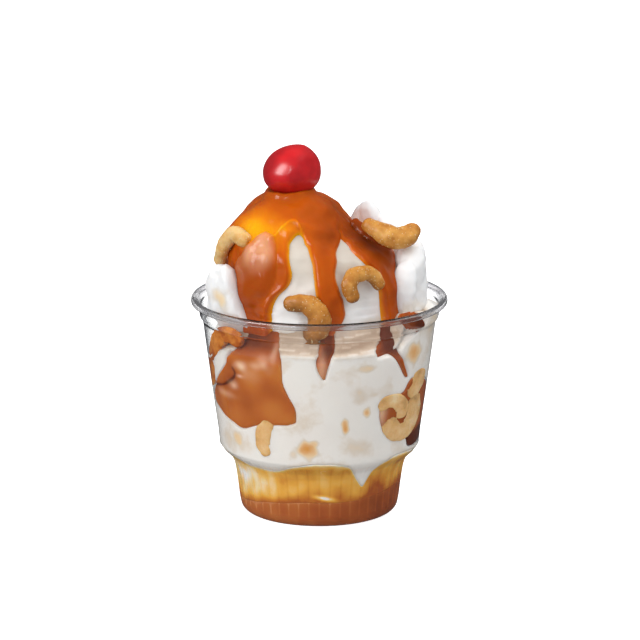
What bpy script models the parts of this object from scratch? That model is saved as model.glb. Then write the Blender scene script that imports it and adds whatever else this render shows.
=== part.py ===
"""Caramel cashew sundae in a clear plastic cup, at its real size.

Frozen custard fills a thin cup with a rolled rim, a stepped shoulder and a
fluted foot. A scoop stands on top between upright curls, under caramel sauce
that runs down in drips, with cashews and a cherry. The origin is the centre
of the cup's foot, +Z is up and -Y is the front. An azimuth is 0 at the front
and grows to the right. Sizes are in millimetres until a mesh is made.
"""

import math

import bmesh
import bpy
import numpy as np
from mathutils import Matrix, Vector

MM = 0.001
GAP = 0.35  # free space between two solids that touch in the real thing

# Cup
RIM_RADIUS = 50.0
BEAD_RADIUS = 1.3
CUP_HEIGHT = 85.7
WALL = 0.8
FLOOR_TOP = 2.2
FOOT_RECESS = 1.4
FOOT_RING_INNER = 24.0
FOOT_RING_OUTER = 28.0
CUP_SIDES = 48
FLUTES = 48
FLUTE_RELIEF = 0.4
# Outside of the wall from the foot's corner to the neck: height, radius
WALL_OUTLINE = [
    (3.2, 31.0),
    (19.0, 33.1),
    (22.0, 34.5),
    (25.2, 37.6),
    (27.8, 39.0),
    (75.4, 45.3),
    (78.6, 46.6),
    (83.0, 46.9),
]

# Layers in the cup: azimuth, height of the top at the wall
POOL_TOP = [(-70, 10.6), (0, 10.4), (40, 11.2), (62, 13.6), (120, 11.0), (200, 12.4)]
MELT_TOP = [(-58, 23.0), (-26, 23.4), (0, 26.6), (19, 24.0), (31, 20.0), (43, 24.0), (60, 27.0), (150, 24.0), (200, 27.0)]
FILL_TOP = [(-80, 69.5), (-40, 69.0), (-15, 71.0), (22, 71.5), (44, 76.5), (90, 79.0), (150, 76.0), (210, 72.0)]
SEAT_HEIGHT = 68.0
SEAT_RADIUS = 37.2
LAYER_SIDES = 36

# Scoop: radius, height, and how far its middle is shifted to the left
SCOOP_OUTLINE = [
    (0.0, 126.0, 10.2),
    (7.5, 125.0, 10.2),
    (13.6, 121.8, 10.1),
    (18.8, 116.5, 9.8),
    (23.0, 111.0, 8.8),
    (27.4, 105.0, 6.0),
    (30.4, 98.0, 2.8),
    (31.8, 90.0, 1.4),
    (33.0, 81.0, 0.7),
    (32.6, 74.5, 0.4),
    (28.0, 69.6, 0.2),
    (20.0, 68.4, 0.0),
]
SCOOP_SIDES = 36
SCOOP_RINGS = 18

# Caramel over the scoop
SAUCE_THICKNESS = 1.9
SAUCE_SLOPE = 0.75
SAUCE_HIDDEN = -0.9
SAUCE_LINE = 114.0
SAUCE_SIDES = 60
SAUCE_RINGS = 22
# Each drip by height: middle azimuth and half width in mm. It ends round.
DRIPS = [
    [(114, -52, 20), (104, -50, 19), (98, -46, 15.5), (92, -43, 9.5), (82, -41, 7.2), (76, -41, 7.0)],
    [(114, 24, 6.5), (104, 15, 4.7), (96, 8.5, 4.5), (88, 10, 5.6), (80, 9, 3.6), (77, 8, 3.0)],
    [(114, 66, 12), (105, 64, 9), (98, 61, 6.6), (89, 59, 5.6), (78, 54, 3.6)],
    [(114, 112, 8.0), (105, 108, 5.4), (94, 110, 4.8)],
    [(114, 150, 8.5), (103, 153, 5.6), (90, 150, 5.6), (78, 151, 4.4)],
    [(114, 196, 9.0), (102, 200, 6.4), (88, 197, 6.6), (77, 198, 5.0)],
    [(114, 245, 9.0), (104, 243, 7.0), (96, 240, 5.4), (91, 240, 4.6)],
]

# Sauce pooled against the wall inside the cup: middle azimuth and height,
# half width in degrees, half height, depth
POCKETS = {
    "caramel_pocket_left": (-46.0, 55.0, 33.0, 16.0, 7.0),
    "caramel_pocket_right": (60.0, 43.5, 22.0, 15.5, 7.5),
    "caramel_pocket_back": (176.0, 52.0, 27.0, 15.0, 6.5),
    "caramel_run_front": (5.0, 65.0, 4.6, 5.8, 1.9),
}

# Upright curls of custard: along the path x, y, height of the top, thickness
CURL_LEFT = [
    (-41.0, -5.0, 88.0, 2.5),
    (-40.6, -9.0, 97.0, 5.5),
    (-38.0, -14.0, 102.0, 7.0),
    (-33.5, -19.5, 98.5, 7.0),
    (-29.5, -25.0, 88.0, 4.0),
]
CURL_RIGHT = [
    (9.0, 18.0, 108.0, 4.0),
    (14.0, 17.5, 115.0, 8.0),
    (19.5, 16.5, 119.5, 9.0),
    (25.5, 14.5, 113.0, 11.0),
    (31.5, 9.0, 108.0, 12.0),
    (34.0, 1.0, 107.0, 12.0),
    (34.5, -6.0, 104.5, 9.0),
    (34.5, -11.0, 97.5, 4.0),
]
CURL_LEFT_FOOT = 80.6
CURL_RIGHT_FOOT = 80.5

# Cherry
CHERRY_RADIUS = 11.3
CHERRY_HALF_HEIGHT = 9.9
CHERRY_PLACE = (-11.0, -0.5, 136.0)

# Cashews. Each one's bow lies flat on what is behind it: azimuth and height
# of its place, distance from the axis, elevation that its flat side faces,
# roll of the bow to the left from straight up, length
CASHEW_THICK = 7.4
CASHEWS_ON_TOP = {
    "cashew_01": (-62.0, 108.5, 39.4, 30.0, 26.0, 17.5),
    "cashew_02": (-5.5, 86.0, 40.2, 4.0, -46.0, 19.5),
    "cashew_03": (27.0, 97.5, 37.0, 12.0, 30.0, 18.0),
    "cashew_04": (80.0, 113.0, 30.0, 55.0, 176.0, 19.5),
    "cashew_05": (-70.0, 72.9, 40.6, 8.0, 14.0, 16.0),
    "cashew_06": (142.0, 99.0, 38.0, 12.0, -35.0, 19.0),
    "cashew_07": (222.0, 106.5, 38.4, 25.0, 70.0, 18.5),
}
CASHEWS_AT_WALL = {
    "cashew_08": (-84.0, 56.5, 80.0, 16.0),
    "cashew_09": (-30.0, 33.5, -70.0, 17.0),
    "cashew_10": (66.0, 54.0, -62.0, 17.0),
    "cashew_11": (43.0, 51.0, 15.0, 15.0),
    "cashew_12": (55.0, 40.0, -140.0, 18.0),
    "cashew_13": (129.0, 47.0, 30.0, 18.0),
}


def smooth_curve(knots, x):
    """Values at x of a smooth curve through knots of (x, value)."""
    xs, ys = (np.array(column, float) for column in zip(*sorted(knots)))
    slope = np.diff(ys) / np.diff(xs)
    tangent = np.concatenate([slope[:1], (slope[1:] + slope[:-1]) / 2, slope[-1:]])
    turns = np.concatenate([[False], slope[1:] * slope[:-1] <= 0, [False]])
    tangent[turns] = 0
    x = np.clip(x, xs[0], xs[-1])
    i = np.clip(np.searchsorted(xs, x) - 1, 0, len(xs) - 2)
    width = xs[i + 1] - xs[i]
    t = (x - xs[i]) / width
    return (
        ys[i] * (1 + 2 * t) * (1 - t) ** 2
        + ys[i + 1] * t * t * (3 - 2 * t)
        + width * tangent[i] * t * (1 - t) ** 2
        - width * tangent[i + 1] * t * t * (1 - t)
    )


def around(knots, azimuth):
    """Smooth value round a full turn from knots of (azimuth, value)."""
    lapped = [(a + turn, v) for turn in (-360, 0, 360) for a, v in knots]
    return smooth_curve(lapped, (np.asarray(azimuth) + 180) % 360 - 180)


def cup_inside(z):
    """Radius of the inside of the cup's wall at height z."""
    heights, radii = zip(*WALL_OUTLINE)
    return np.interp(z, heights, radii) - WALL


def at(azimuth, radius, z):
    """Point at an azimuth in degrees, a radius and a height."""
    a = np.radians(azimuth)
    return np.stack(np.broadcast_arrays(radius * np.sin(a), -radius * np.cos(a), z), -1)


def clear_scene():
    for ob in list(bpy.data.objects):
        bpy.data.objects.remove(ob, do_unlink=True)


def material(name, color, roughness=0.4, transmission=0.0):
    mat = bpy.data.materials.new(name)
    mat.use_nodes = True
    shader = mat.node_tree.nodes["Principled BSDF"]
    shader.inputs["Base Color"].default_value = (*color, 1.0)
    shader.inputs["Roughness"].default_value = roughness
    shader.inputs["Transmission Weight"].default_value = transmission
    mat.diffuse_color = (*color, 1.0)
    return mat


def solid(name, bm, mat):
    """Make an object in metres from a closed bmesh in millimetres."""
    bmesh.ops.triangulate(bm, faces=bm.faces)
    bmesh.ops.recalc_face_normals(bm, faces=bm.faces)
    bmesh.ops.scale(bm, vec=(MM, MM, MM), verts=bm.verts)
    mesh = bpy.data.meshes.new(name)
    bm.to_mesh(mesh)
    bm.free()
    ob = bpy.data.objects.new(name, mesh)
    bpy.context.collection.objects.link(ob)
    ob.data.materials.append(mat)
    return ob


def join_rings(bm, low, high):
    """Band of faces between two closed rings, one perhaps twice as fine."""
    n, m = len(low), len(high)
    if n == m:
        for i in range(n):
            j = (i + 1) % n
            bm.faces.new((low[i], low[j], high[j], high[i]))
        return
    if n > m:
        join_rings(bm, high, low)
        return
    for i in range(n):
        j = (i + 1) % n
        a, b, c = high[2 * i], high[2 * i + 1], high[(2 * i + 2) % m]
        bm.faces.new((low[i], b, a))
        bm.faces.new((low[i], low[j], b))
        bm.faces.new((low[j], c, b))


def close_ring(bm, ring, point):
    tip = bm.verts.new(point)
    for i in range(len(ring)):
        bm.faces.new((ring[i], ring[(i + 1) % len(ring)], tip))


def ring_stack(rings, first, last):
    """Closed mesh through rings of points, from a first to a last point."""
    bm = bmesh.new()
    made = [[bm.verts.new(p) for p in ring] for ring in rings]
    for low, high in zip(made, made[1:]):
        join_rings(bm, low, high)
    close_ring(bm, made[0], first)
    close_ring(bm, made[-1], last)
    return bm


def cut(ob, cutter, solver="EXACT"):
    """Cut one solid out of another and keep the first one's own mesh."""
    cutter.hide_render = True
    cutter.display_type = "WIRE"
    boolean = ob.modifiers.new("cut", "BOOLEAN")
    boolean.operation = "DIFFERENCE"
    boolean.solver = solver
    boolean.object = cutter
    bpy.context.view_layer.update()
    graph = bpy.context.evaluated_depsgraph_get()
    mesh = bpy.data.meshes.new_from_object(ob.evaluated_get(graph))
    ob.modifiers.remove(boolean)
    ob.data = mesh
    tidy(ob)


def tidy(ob):
    """Weld what a cut leaves split and keep the largest closed shell."""
    bm = bmesh.new()
    bm.from_mesh(ob.data)
    bmesh.ops.triangulate(bm, faces=bm.faces)
    bmesh.ops.remove_doubles(bm, verts=bm.verts, dist=0.002 * MM)
    bmesh.ops.dissolve_degenerate(bm, edges=bm.edges, dist=0.002 * MM)
    bmesh.ops.triangulate(bm, faces=bm.faces)
    bm.verts.ensure_lookup_table()
    unseen = set(bm.verts)
    shells = []
    while unseen:
        shell = {unseen.pop()}
        edge = list(shell)
        while edge:
            vert = edge.pop()
            for other in (e.other_vert(vert) for e in vert.link_edges):
                if other in unseen:
                    unseen.discard(other)
                    shell.add(other)
                    edge.append(other)
        shells.append(shell)
    shells.sort(key=len, reverse=True)
    spare = [v for shell in shells[1:] for v in shell]
    bmesh.ops.delete(bm, geom=spare, context="VERTS")
    bmesh.ops.recalc_face_normals(bm, faces=bm.faces)
    bm.to_mesh(ob.data)
    bm.free()


def cup_ring(z, radius, sides=CUP_SIDES, relief=0.0):
    azimuth = np.arange(sides) * 360.0 / sides
    bump = np.where(np.arange(sides) % 2 == 0, relief / 2, -relief / 2)
    return at(azimuth, radius + bump, z)


def bead_rings():
    """Rolled rim, from where it leaves the wall outside to the wall inside."""
    middle = RIM_RADIUS - BEAD_RADIUS
    rings = []
    for turn in (-120, -50, 15, 80, 140, 185):
        a = math.radians(turn)
        z = CUP_HEIGHT - BEAD_RADIUS + BEAD_RADIUS * math.sin(a)
        rings.append(cup_ring(z, middle + BEAD_RADIUS * math.cos(a)))
    return rings


def build_cup(mat):
    outside = [
        cup_ring(FOOT_RECESS, FOOT_RING_INNER - 1.2),
        cup_ring(0, FOOT_RING_INNER),
        cup_ring(0, FOOT_RING_OUTER),
        cup_ring(0.55, 29.4),
        cup_ring(1.7, 30.4),
        cup_ring(3.2, 31.0, 2 * FLUTES),
        cup_ring(4.2, 31.1, 2 * FLUTES, FLUTE_RELIEF),
        cup_ring(19.0, 33.1, 2 * FLUTES, FLUTE_RELIEF),
        cup_ring(20.6, 33.8, 2 * FLUTES),
    ]
    outside += [cup_ring(z, r) for z, r in WALL_OUTLINE[2:]]
    inside = [cup_ring(z, r - WALL) for z, r in WALL_OUTLINE[:0:-1]]
    inside += [cup_ring(3.6, 30.2), cup_ring(FLOOR_TOP, 28.6)]
    rings = outside + bead_rings() + inside
    bm = ring_stack(rings, (0, 0, FOOT_RECESS), (0, 0, FLOOR_TOP))
    return solid("cup", bm, mat)


def layer(name, mat, low, high, steps, flat=None):
    """Solid between two uneven heights, filling the cup to its wall."""
    azimuth = np.arange(LAYER_SIDES) * 360.0 / LAYER_SIDES
    bottom, top = low(azimuth), high(azimuth)
    rings = []
    for share in (0.35, 0.75):
        rings.append(at(azimuth, share * 30, bottom.mean() + (bottom - bottom.mean()) * share ** 2))
    for t in np.linspace(0, 1, steps) ** 1.4:
        z = bottom + (top - bottom) * t
        spare = GAP + 0.2 + 0.9 * np.clip(1 - abs(z - 22) / 5, 0, 1)
        radius = cup_inside(np.minimum(z, 75)) - spare
        if z.min() < 3.6:
            radius = radius - 1.2
        rings.append(at(azimuth, radius, z))
    middle = top.mean()
    if flat is None:
        for share in (0.75, 0.35):
            rings.append(at(azimuth, share * 30, middle + (top - middle) * share ** 2))
    else:
        middle = flat
        rings.append(at(azimuth, SEAT_RADIUS + 3.4, np.maximum(top - 1.0, flat)))
        rings.append(at(azimuth, SEAT_RADIUS, flat))
        rings.append(at(azimuth, SEAT_RADIUS * 0.5, flat))
    bm = ring_stack(rings, (0, 0, bottom.mean()), (0, 0, middle))
    return solid(name, bm, mat)


def build_layers(sauce, melt, custard):
    def floor(azimuth):
        return np.full(len(azimuth), FLOOR_TOP + GAP)

    def top_of(knots):
        return lambda azimuth: around(knots, azimuth)

    def above(knots):
        return lambda azimuth: around(knots, azimuth) + GAP

    layer("caramel_pool", sauce, floor, top_of(POOL_TOP), 4)
    layer("amber_layer", melt, above(POOL_TOP), top_of(MELT_TOP), 7)
    return layer("custard_fill", custard, above(MELT_TOP), top_of(FILL_TOP), 10, SEAT_HEIGHT)


def scoop_profile(count):
    """Radius, height, shift and outward direction at even steps down the scoop."""
    radii, heights, shifts = (np.array(column) for column in zip(*SCOOP_OUTLINE))
    walk = np.concatenate([[0], np.cumsum(np.hypot(np.diff(radii), np.diff(heights)))])
    s = np.linspace(0, walk[-1], count)
    r = smooth_curve(list(zip(walk, radii)), s)
    z = smooth_curve(list(zip(walk, heights)), s)
    shift = smooth_curve(list(zip(walk, shifts)), s)
    along = np.stack([np.gradient(r, s), np.gradient(z, s)])
    along /= np.linalg.norm(along, axis=0)
    return r, z, shift, -along[1], along[0]


def scoop_fold(azimuth, z):
    """Soft waves round the scoop, fading out towards its top and foot."""
    fade = np.clip((121 - z) / 14, 0, 1) * np.clip((z - 70) / 8, 0, 1)
    wave = np.sin(np.radians(3 * azimuth + 1.6 * z + 40))
    return 0.7 * fade * wave


def scoop_solid(name, mat, sides, rings, offset):
    """The scoop's shape pushed outwards by offset(azimuth, z, radius)."""
    r, z, shift, out, up = scoop_profile(rings)
    azimuth = np.arange(sides) * 360.0 / sides
    loops = []
    for i in range(1, rings):
        radius = r[i] + scoop_fold(azimuth, z[i])
        push = offset(azimuth, z[i], radius)
        points = at(azimuth, radius + push * out[i], z[i] + push * up[i])
        points[:, 0] -= shift[i]
        loops.append(points)
    top = float(np.mean(offset(azimuth, z[0], 0.5)))
    first = (-shift[0], 0, z[0] + top)
    foot = float(np.mean(offset(azimuth, z[-1], r[-1])))
    last = (-shift[-1], 0, z[-1] - foot)
    return solid(name, ring_stack(loops, first, last), mat)


def sauce_depth(azimuth, z, radius):
    """Distance in from the sauce's edge, negative where there is none."""
    depth = np.full(len(azimuth), (z - SAUCE_LINE) * 1.2)
    for drip in DRIPS:
        end = drip[-1][0]
        level = max(z, end)
        middle = smooth_curve([(h, a) for h, a, w in drip], level)
        half = smooth_curve([(h, w) for h, a, w in drip], level)
        aside = np.radians((azimuth - middle + 180) % 360 - 180) * np.maximum(radius, 8)
        inside = half - np.hypot(aside, level - z)
        depth = (depth + inside + np.sqrt((depth - inside) ** 2 + 3.0)) / 2
    return depth


def sauce_height(azimuth, z, radius):
    depth = sauce_depth(azimuth, z, radius)
    return np.clip(depth * SAUCE_SLOPE, SAUCE_HIDDEN, SAUCE_THICKNESS)


def build_scoop(sauce, custard):
    """The scoop, its sauce, and the room both need, which cuts what leans on."""

    def bare(azimuth, z, radius):
        return np.zeros(len(azimuth))

    def inner(azimuth, z, radius):
        return np.full(len(azimuth), GAP)

    def outer(azimuth, z, radius):
        return GAP + sauce_height(azimuth, z, radius)

    def room(azimuth, z, radius):
        return np.full(len(azimuth), 2 * GAP + SAUCE_THICKNESS)

    scoop_solid("custard_scoop", custard, SCOOP_SIDES, SCOOP_RINGS, bare)
    topping = scoop_solid("caramel_topping", sauce, SAUCE_SIDES, SAUCE_RINGS, outer)
    inside = scoop_solid("inside", custard, SCOOP_SIDES, SCOOP_RINGS, inner)
    cut(topping, inside)
    bpy.data.objects.remove(inside, do_unlink=True)
    return scoop_solid("room", custard, SCOOP_SIDES, SCOOP_RINGS, room)


def build_curl(name, mat, path, foot, room):
    """Upright leaf of custard along a path, rounded over its top edge."""
    xs, ys, tops, thick = (np.array(column, float) for column in zip(*path))
    walk = np.arange(len(path))
    s = np.linspace(0, len(path) - 1, 3 * len(path) - 2)
    spots = [smooth_curve(list(zip(walk, column)), s) for column in (xs, ys, tops, thick)]
    spots = np.stack(spots, -1)
    heading = np.gradient(spots[:, :2], axis=0)
    heading /= np.linalg.norm(heading, axis=1)[:, None]
    loops = []
    for (x, y, top, width), (hx, hy) in zip(spots, heading):
        loop = []
        cap = min(width * 0.8, (top - foot) * 0.6)
        for turn in np.linspace(0, 180, 7):
            a = math.radians(turn)
            side = width / 2 * math.cos(a)
            loop.append((x - hy * side, y + hx * side, top - cap + cap * math.sin(a)))
        for side in (-0.42, 0.42):
            loop.append((x - hy * side * width, y + hx * side * width, foot))
        loops.append(loop)
    ends = [np.mean(loops[0], axis=0), np.mean(loops[-1], axis=0)]
    ends[0][:2] -= heading[0] * spots[0, 3] * 0.3
    ends[1][:2] += heading[-1] * spots[-1, 3] * 0.3
    ob = solid(name, ring_stack(loops, ends[0], ends[1]), mat)
    cut(ob, room)
    return ob


def build_cherry(mat):
    """Cherry with one flattened shoulder, sunk a little into the sauce."""
    radii, heights, shifts = zip(*SCOOP_OUTLINE)
    bm = bmesh.new()
    bmesh.ops.create_uvsphere(bm, u_segments=16, v_segments=10, radius=1.0)
    flat = Vector((-0.62, -0.25, 0.74)).normalized()
    for vert in bm.verts:
        facing = max(0.0, vert.co.normalized().dot(flat) - 0.35)
        vert.co *= 1 - 0.22 * facing
        vert.co.x *= CHERRY_RADIUS
        vert.co.y *= CHERRY_RADIUS
        vert.co.z *= CHERRY_HALF_HEIGHT
        vert.co += Vector(CHERRY_PLACE)
        aside = math.hypot(vert.co.x + shifts[0], vert.co.y)
        rest = np.interp(aside, radii[:5], heights[:5]) + SAUCE_THICKNESS + 2 * GAP
        vert.co.z = max(vert.co.z, float(rest))
    solid("cherry", bm, mat)


def cashew_mesh(length, grow=0.0):
    """Bowed nut around the origin: arch up, flat side facing -Y."""
    bm = bmesh.new()
    bow = 0.36 * length
    half = math.radians(74)
    loops = []
    for t in np.linspace(-1, 1, 9)[1:-1]:
        a = t * half
        middle = Vector((bow * math.sin(a), 0, bow * math.cos(a) - bow * 0.45))
        out = Vector((math.sin(a), 0, math.cos(a)))
        swell = math.sqrt(1 - t ** 4) * (1 + 0.1 * t)
        wide = CASHEW_THICK / 2 * swell * (0.92 + 0.08 * math.cos(a)) + grow
        loop = []
        for turn in range(8):
            b = math.radians(45 * turn)
            loop.append(middle + out * wide * math.cos(b) + Vector((0, 1, 0)) * wide * math.sin(b))
        loops.append(loop)
    tips = []
    for t in (-1, 1):
        a = t * half * 1.06
        tip = Vector((bow * math.sin(a), 0, bow * math.cos(a) - bow * 0.45))
        along = Vector((math.cos(a), 0, -math.sin(a))) * t
        tips.append(tip + along * grow)
    bm.free()
    return ring_stack(loops, tips[0], tips[1])


def place_cashew(bm, azimuth, z, radius, elevation, roll):
    x, y, height = at(azimuth, radius, z)
    turn = (
        Matrix.Translation((x, y, height))
        @ Matrix.Rotation(math.radians(azimuth), 4, "Z")
        @ Matrix.Rotation(math.radians(-elevation), 4, "X")
        @ Matrix.Rotation(math.radians(-roll), 4, "Y")
    )
    bmesh.ops.transform(bm, matrix=turn, verts=bm.verts)


def press_to_wall(bm, spare):
    """Flatten a nut where it meets the inside of the cup."""
    for vert in bm.verts:
        reach = math.hypot(vert.co.x, vert.co.y)
        limit = float(cup_inside(vert.co.z)) - spare
        if reach > limit:
            vert.co.x *= limit / reach
            vert.co.y *= limit / reach


def build_cashews(mat, fill, pocket):
    for name, (azimuth, z, radius, elevation, roll, length) in CASHEWS_ON_TOP.items():
        bm = cashew_mesh(length)
        place_cashew(bm, azimuth, z, radius, elevation, roll)
        press_to_wall(bm, GAP)
        solid(name, bm, mat)
    for name, (azimuth, z, roll, length) in CASHEWS_AT_WALL.items():
        radius = float(cup_inside(z)) - 2.6
        bm = cashew_mesh(length)
        place_cashew(bm, azimuth, z, radius, 0, roll)
        press_to_wall(bm, GAP)
        solid(name, bm, mat)
        bm = cashew_mesh(length, GAP)
        place_cashew(bm, azimuth, z, radius, 0, roll)
        press_to_wall(bm, -0.4)
        room = solid("room for nut", bm, mat)
        cut(fill, room)
        if name in ("cashew_10", "cashew_11", "cashew_12"):
            cut(pocket, room)
        bpy.data.objects.remove(room, do_unlink=True)


def pocket_mesh(azimuth, z, half_turn, half_height, depth, grow):
    """Lens of sauce against the wall, flat where it touches it."""
    bm = bmesh.new()
    bmesh.ops.create_uvsphere(bm, u_segments=12, v_segments=8, radius=1.0)
    for vert in bm.verts:
        x, y, up = vert.co
        height = z + (half_height + grow) * up
        lean = azimuth + (half_turn + grow * 1.4) * x
        radius = float(cup_inside(height))
        if y > -0.5:
            radius -= depth * (y + 0.5) / 1.5 + GAP + grow * max(-1, min(1, 3 * y))
        else:
            radius -= GAP if grow == 0 else -0.4
        vert.co = at(lean, radius, height)
    return bm


def build_pockets(mat, fill):
    for name, sizes in POCKETS.items():
        solid(name, pocket_mesh(*sizes, 0.0), mat)
        room = solid("room for sauce", pocket_mesh(*sizes, GAP), mat)
        cut(fill, room)
        bpy.data.objects.remove(room, do_unlink=True)
    return bpy.data.objects["caramel_pocket_right"]


def build():
    clear_scene()
    plastic = material("clear_plastic", (0.93, 0.95, 0.96), 0.06, 0.9)
    sauce = material("caramel", (0.5, 0.17, 0.03), 0.18)
    melt = material("melted_caramel", (0.8, 0.43, 0.1), 0.25)
    custard = material("frozen_custard", (0.86, 0.84, 0.8), 0.45)
    nut = material("roasted_cashew", (0.7, 0.42, 0.16), 0.5)
    fruit = material("cherry_red", (0.45, 0.01, 0.02), 0.12)
    build_cup(plastic)
    fill = build_layers(sauce, melt, custard)
    room = build_scoop(sauce, custard)
    build_curl("custard_curl_left", custard, CURL_LEFT, CURL_LEFT_FOOT, room)
    build_curl("custard_curl_right", custard, CURL_RIGHT, CURL_RIGHT_FOOT, room)
    build_cherry(fruit)
    bpy.data.objects.remove(room, do_unlink=True)
    pocket = build_pockets(sauce, fill)
    build_cashews(nut, fill, pocket)


build()
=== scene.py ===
"""Looks of the caramel cashew sundae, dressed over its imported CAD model.

Lengths are in millimetres and azimuths in degrees, 0 at the front and growing
to the right, until a mesh is made in metres.
"""

import math

import bmesh
import bpy
import numpy as np
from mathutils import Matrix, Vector, noise


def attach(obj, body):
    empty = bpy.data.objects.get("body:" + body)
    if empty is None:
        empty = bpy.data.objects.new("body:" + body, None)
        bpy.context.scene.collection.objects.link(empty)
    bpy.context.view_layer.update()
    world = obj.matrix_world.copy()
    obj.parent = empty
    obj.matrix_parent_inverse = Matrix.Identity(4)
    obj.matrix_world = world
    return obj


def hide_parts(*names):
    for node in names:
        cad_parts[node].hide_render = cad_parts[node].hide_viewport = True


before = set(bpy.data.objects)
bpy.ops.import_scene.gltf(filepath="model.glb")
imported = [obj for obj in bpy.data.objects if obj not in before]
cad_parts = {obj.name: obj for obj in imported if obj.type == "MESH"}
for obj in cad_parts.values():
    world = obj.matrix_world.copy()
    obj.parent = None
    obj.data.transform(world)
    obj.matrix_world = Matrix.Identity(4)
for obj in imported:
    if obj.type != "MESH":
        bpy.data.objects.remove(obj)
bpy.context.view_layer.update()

scene = bpy.context.scene


# Camera
# It stands where the photograph was taken from: 1.6 m away with a long lens,
# 14 degrees above the middle of the cup.
camera = bpy.data.objects.new("camera", bpy.data.cameras.new("camera"))
scene.collection.objects.link(camera)
camera.location = (0, -1.5514, 0.4514)
camera.rotation_euler = (math.radians(90 - 13.62), 0, math.radians(-0.01))
camera.data.sensor_width = 36
camera.data.lens = 230.4
camera.data.clip_end = 20
scene.camera = camera
scene.view_settings.view_transform = "Standard"
scene.view_settings.look = "None"


# Studio
# A white sweep of paper under a large soft lamp at the left, weaker ones at the
# right, above and behind, and a narrow one in front. Dark cards at both sides
# draw the edges of the plastic.
def lamp(name, place, aim, size, watts, shine=True):
    light = bpy.data.lights.new(name, "AREA")
    light.shape = "RECTANGLE"
    light.size, light.size_y = size
    light.energy = watts
    ob = bpy.data.objects.new(name, light)
    ob.location = place
    ob.rotation_euler = (Vector(aim) - Vector(place)).to_track_quat("-Z", "Y").to_euler()
    ob.visible_glossy = ob.visible_transmission = shine
    scene.collection.objects.link(ob)


lamp("key", (-1.25, -0.8, 0.85), (0, 0, 0.09), (0.7, 0.9), 12.5)
lamp("fill", (0.8, -1.25, 0.9), (0, 0, 0.09), (0.8, 0.8), 4.5, False)
lamp("top", (0.45, 0.05, 1.3), (0, 0, 0.1), (0.9, 0.9), 9, False)
lamp("back", (0.5, 1.2, 0.9), (0, 0, 0.1), (0.8, 0.6), 5, False)
lamp("strip", (-0.55, -1.2, 0.75), (0, 0, 0.1), (0.05, 0.7), 1.6)


def add_node(tree, kind, inputs, **settings):
    """New node; each of its inputs is given a value or an output to link."""
    node = tree.nodes.new(kind)
    for name, value in settings.items():
        setattr(node, name, value)
    for key, value in inputs.items():
        if isinstance(value, bpy.types.NodeSocket):
            tree.links.new(value, node.inputs[key])
        else:
            node.inputs[key].default_value = value
    return node


def math_value(tree, operation, *sources):
    return add_node(tree, "ShaderNodeMath", dict(enumerate(sources)), operation=operation).outputs["Value"]


def new_material(name, values):
    """Material with its main shader set to the values, and its node tree."""
    mat = bpy.data.materials.new(name)
    mat.use_nodes = True
    for title, value in values.items():
        mat.node_tree.nodes["Principled BSDF"].inputs[title].default_value = value
    return mat, mat.node_tree


def mix_surface(tree, share, other):
    """Show the other shader in place of the main one by a share."""
    main = tree.nodes["Principled BSDF"].outputs["BSDF"]
    mix = add_node(tree, "ShaderNodeMixShader", {"Fac": share, 1: main, 2: other.outputs["BSDF"]})
    tree.links.new(mix.outputs["Shader"], tree.nodes["Material Output"].inputs["Surface"])


def flat_sheet(name, half, mat):
    bm = bmesh.new()
    bmesh.ops.create_grid(bm, x_segments=1, y_segments=1, size=half)
    mesh = bpy.data.meshes.new(name)
    bm.to_mesh(mesh)
    bm.free()
    mesh.materials.append(mat)
    ob = bpy.data.objects.new(name, mesh)
    scene.collection.objects.link(ob)
    return ob


# the room is dim in reflections, and dimmer behind plastic than to the food
world = bpy.data.worlds.new("studio")
scene.world = world
world.use_nodes = True
tree = world.node_tree
path = add_node(tree, "ShaderNodeLightPath", {}).outputs
room = add_node(tree, "ShaderNodeMapRange", {"Value": path["Glossy Depth"], "To Min": 0.56, "To Max": 0.07})
behind = math_value(tree, "SUBTRACT", path["Is Transmission Ray"], path["Diffuse Depth"])
behind = math_value(tree, "MULTIPLY", behind, 0.4)
tree.nodes["Background"].inputs["Color"].default_value = (0.94, 0.96, 1.0, 1)
tree.links.new(
    math_value(tree, "MAXIMUM", room.outputs["Result"], behind), tree.nodes["Background"].inputs["Strength"]
)

# the paper lights nothing and shows in no reflection
mat, tree = new_material(
    "white paper",
    {
        "Base Color": (0.93, 0.93, 0.93, 1), "Roughness": 0.8,
        "Emission Color": (1, 1, 1, 1), "Emission Strength": 0.7,
    },
)
path = add_node(tree, "ShaderNodeLightPath", {}).outputs
mirrored = math_value(tree, "ADD", path["Diffuse Depth"], path["Glossy Depth"])
mix_surface(tree, mirrored, add_node(tree, "ShaderNodeBsdfTransparent", {}))
paper = flat_sheet("paper", 6, mat)
paper.visible_glossy = False
paper.visible_diffuse = False

for side in (-1, 1):
    mat, _ = new_material("black felt", {"Base Color": (0.02, 0.02, 0.02, 1)})
    card = flat_sheet("dark card", 0.5, mat)
    card.location = (side * 0.62, 0.35, 0.1)
    card.scale = (0.12, 0.8, 1)
    card.rotation_euler = (math.radians(90), 0, 0)
    card.visible_camera = False
    card.visible_diffuse = False
    card.visible_shadow = False


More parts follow.
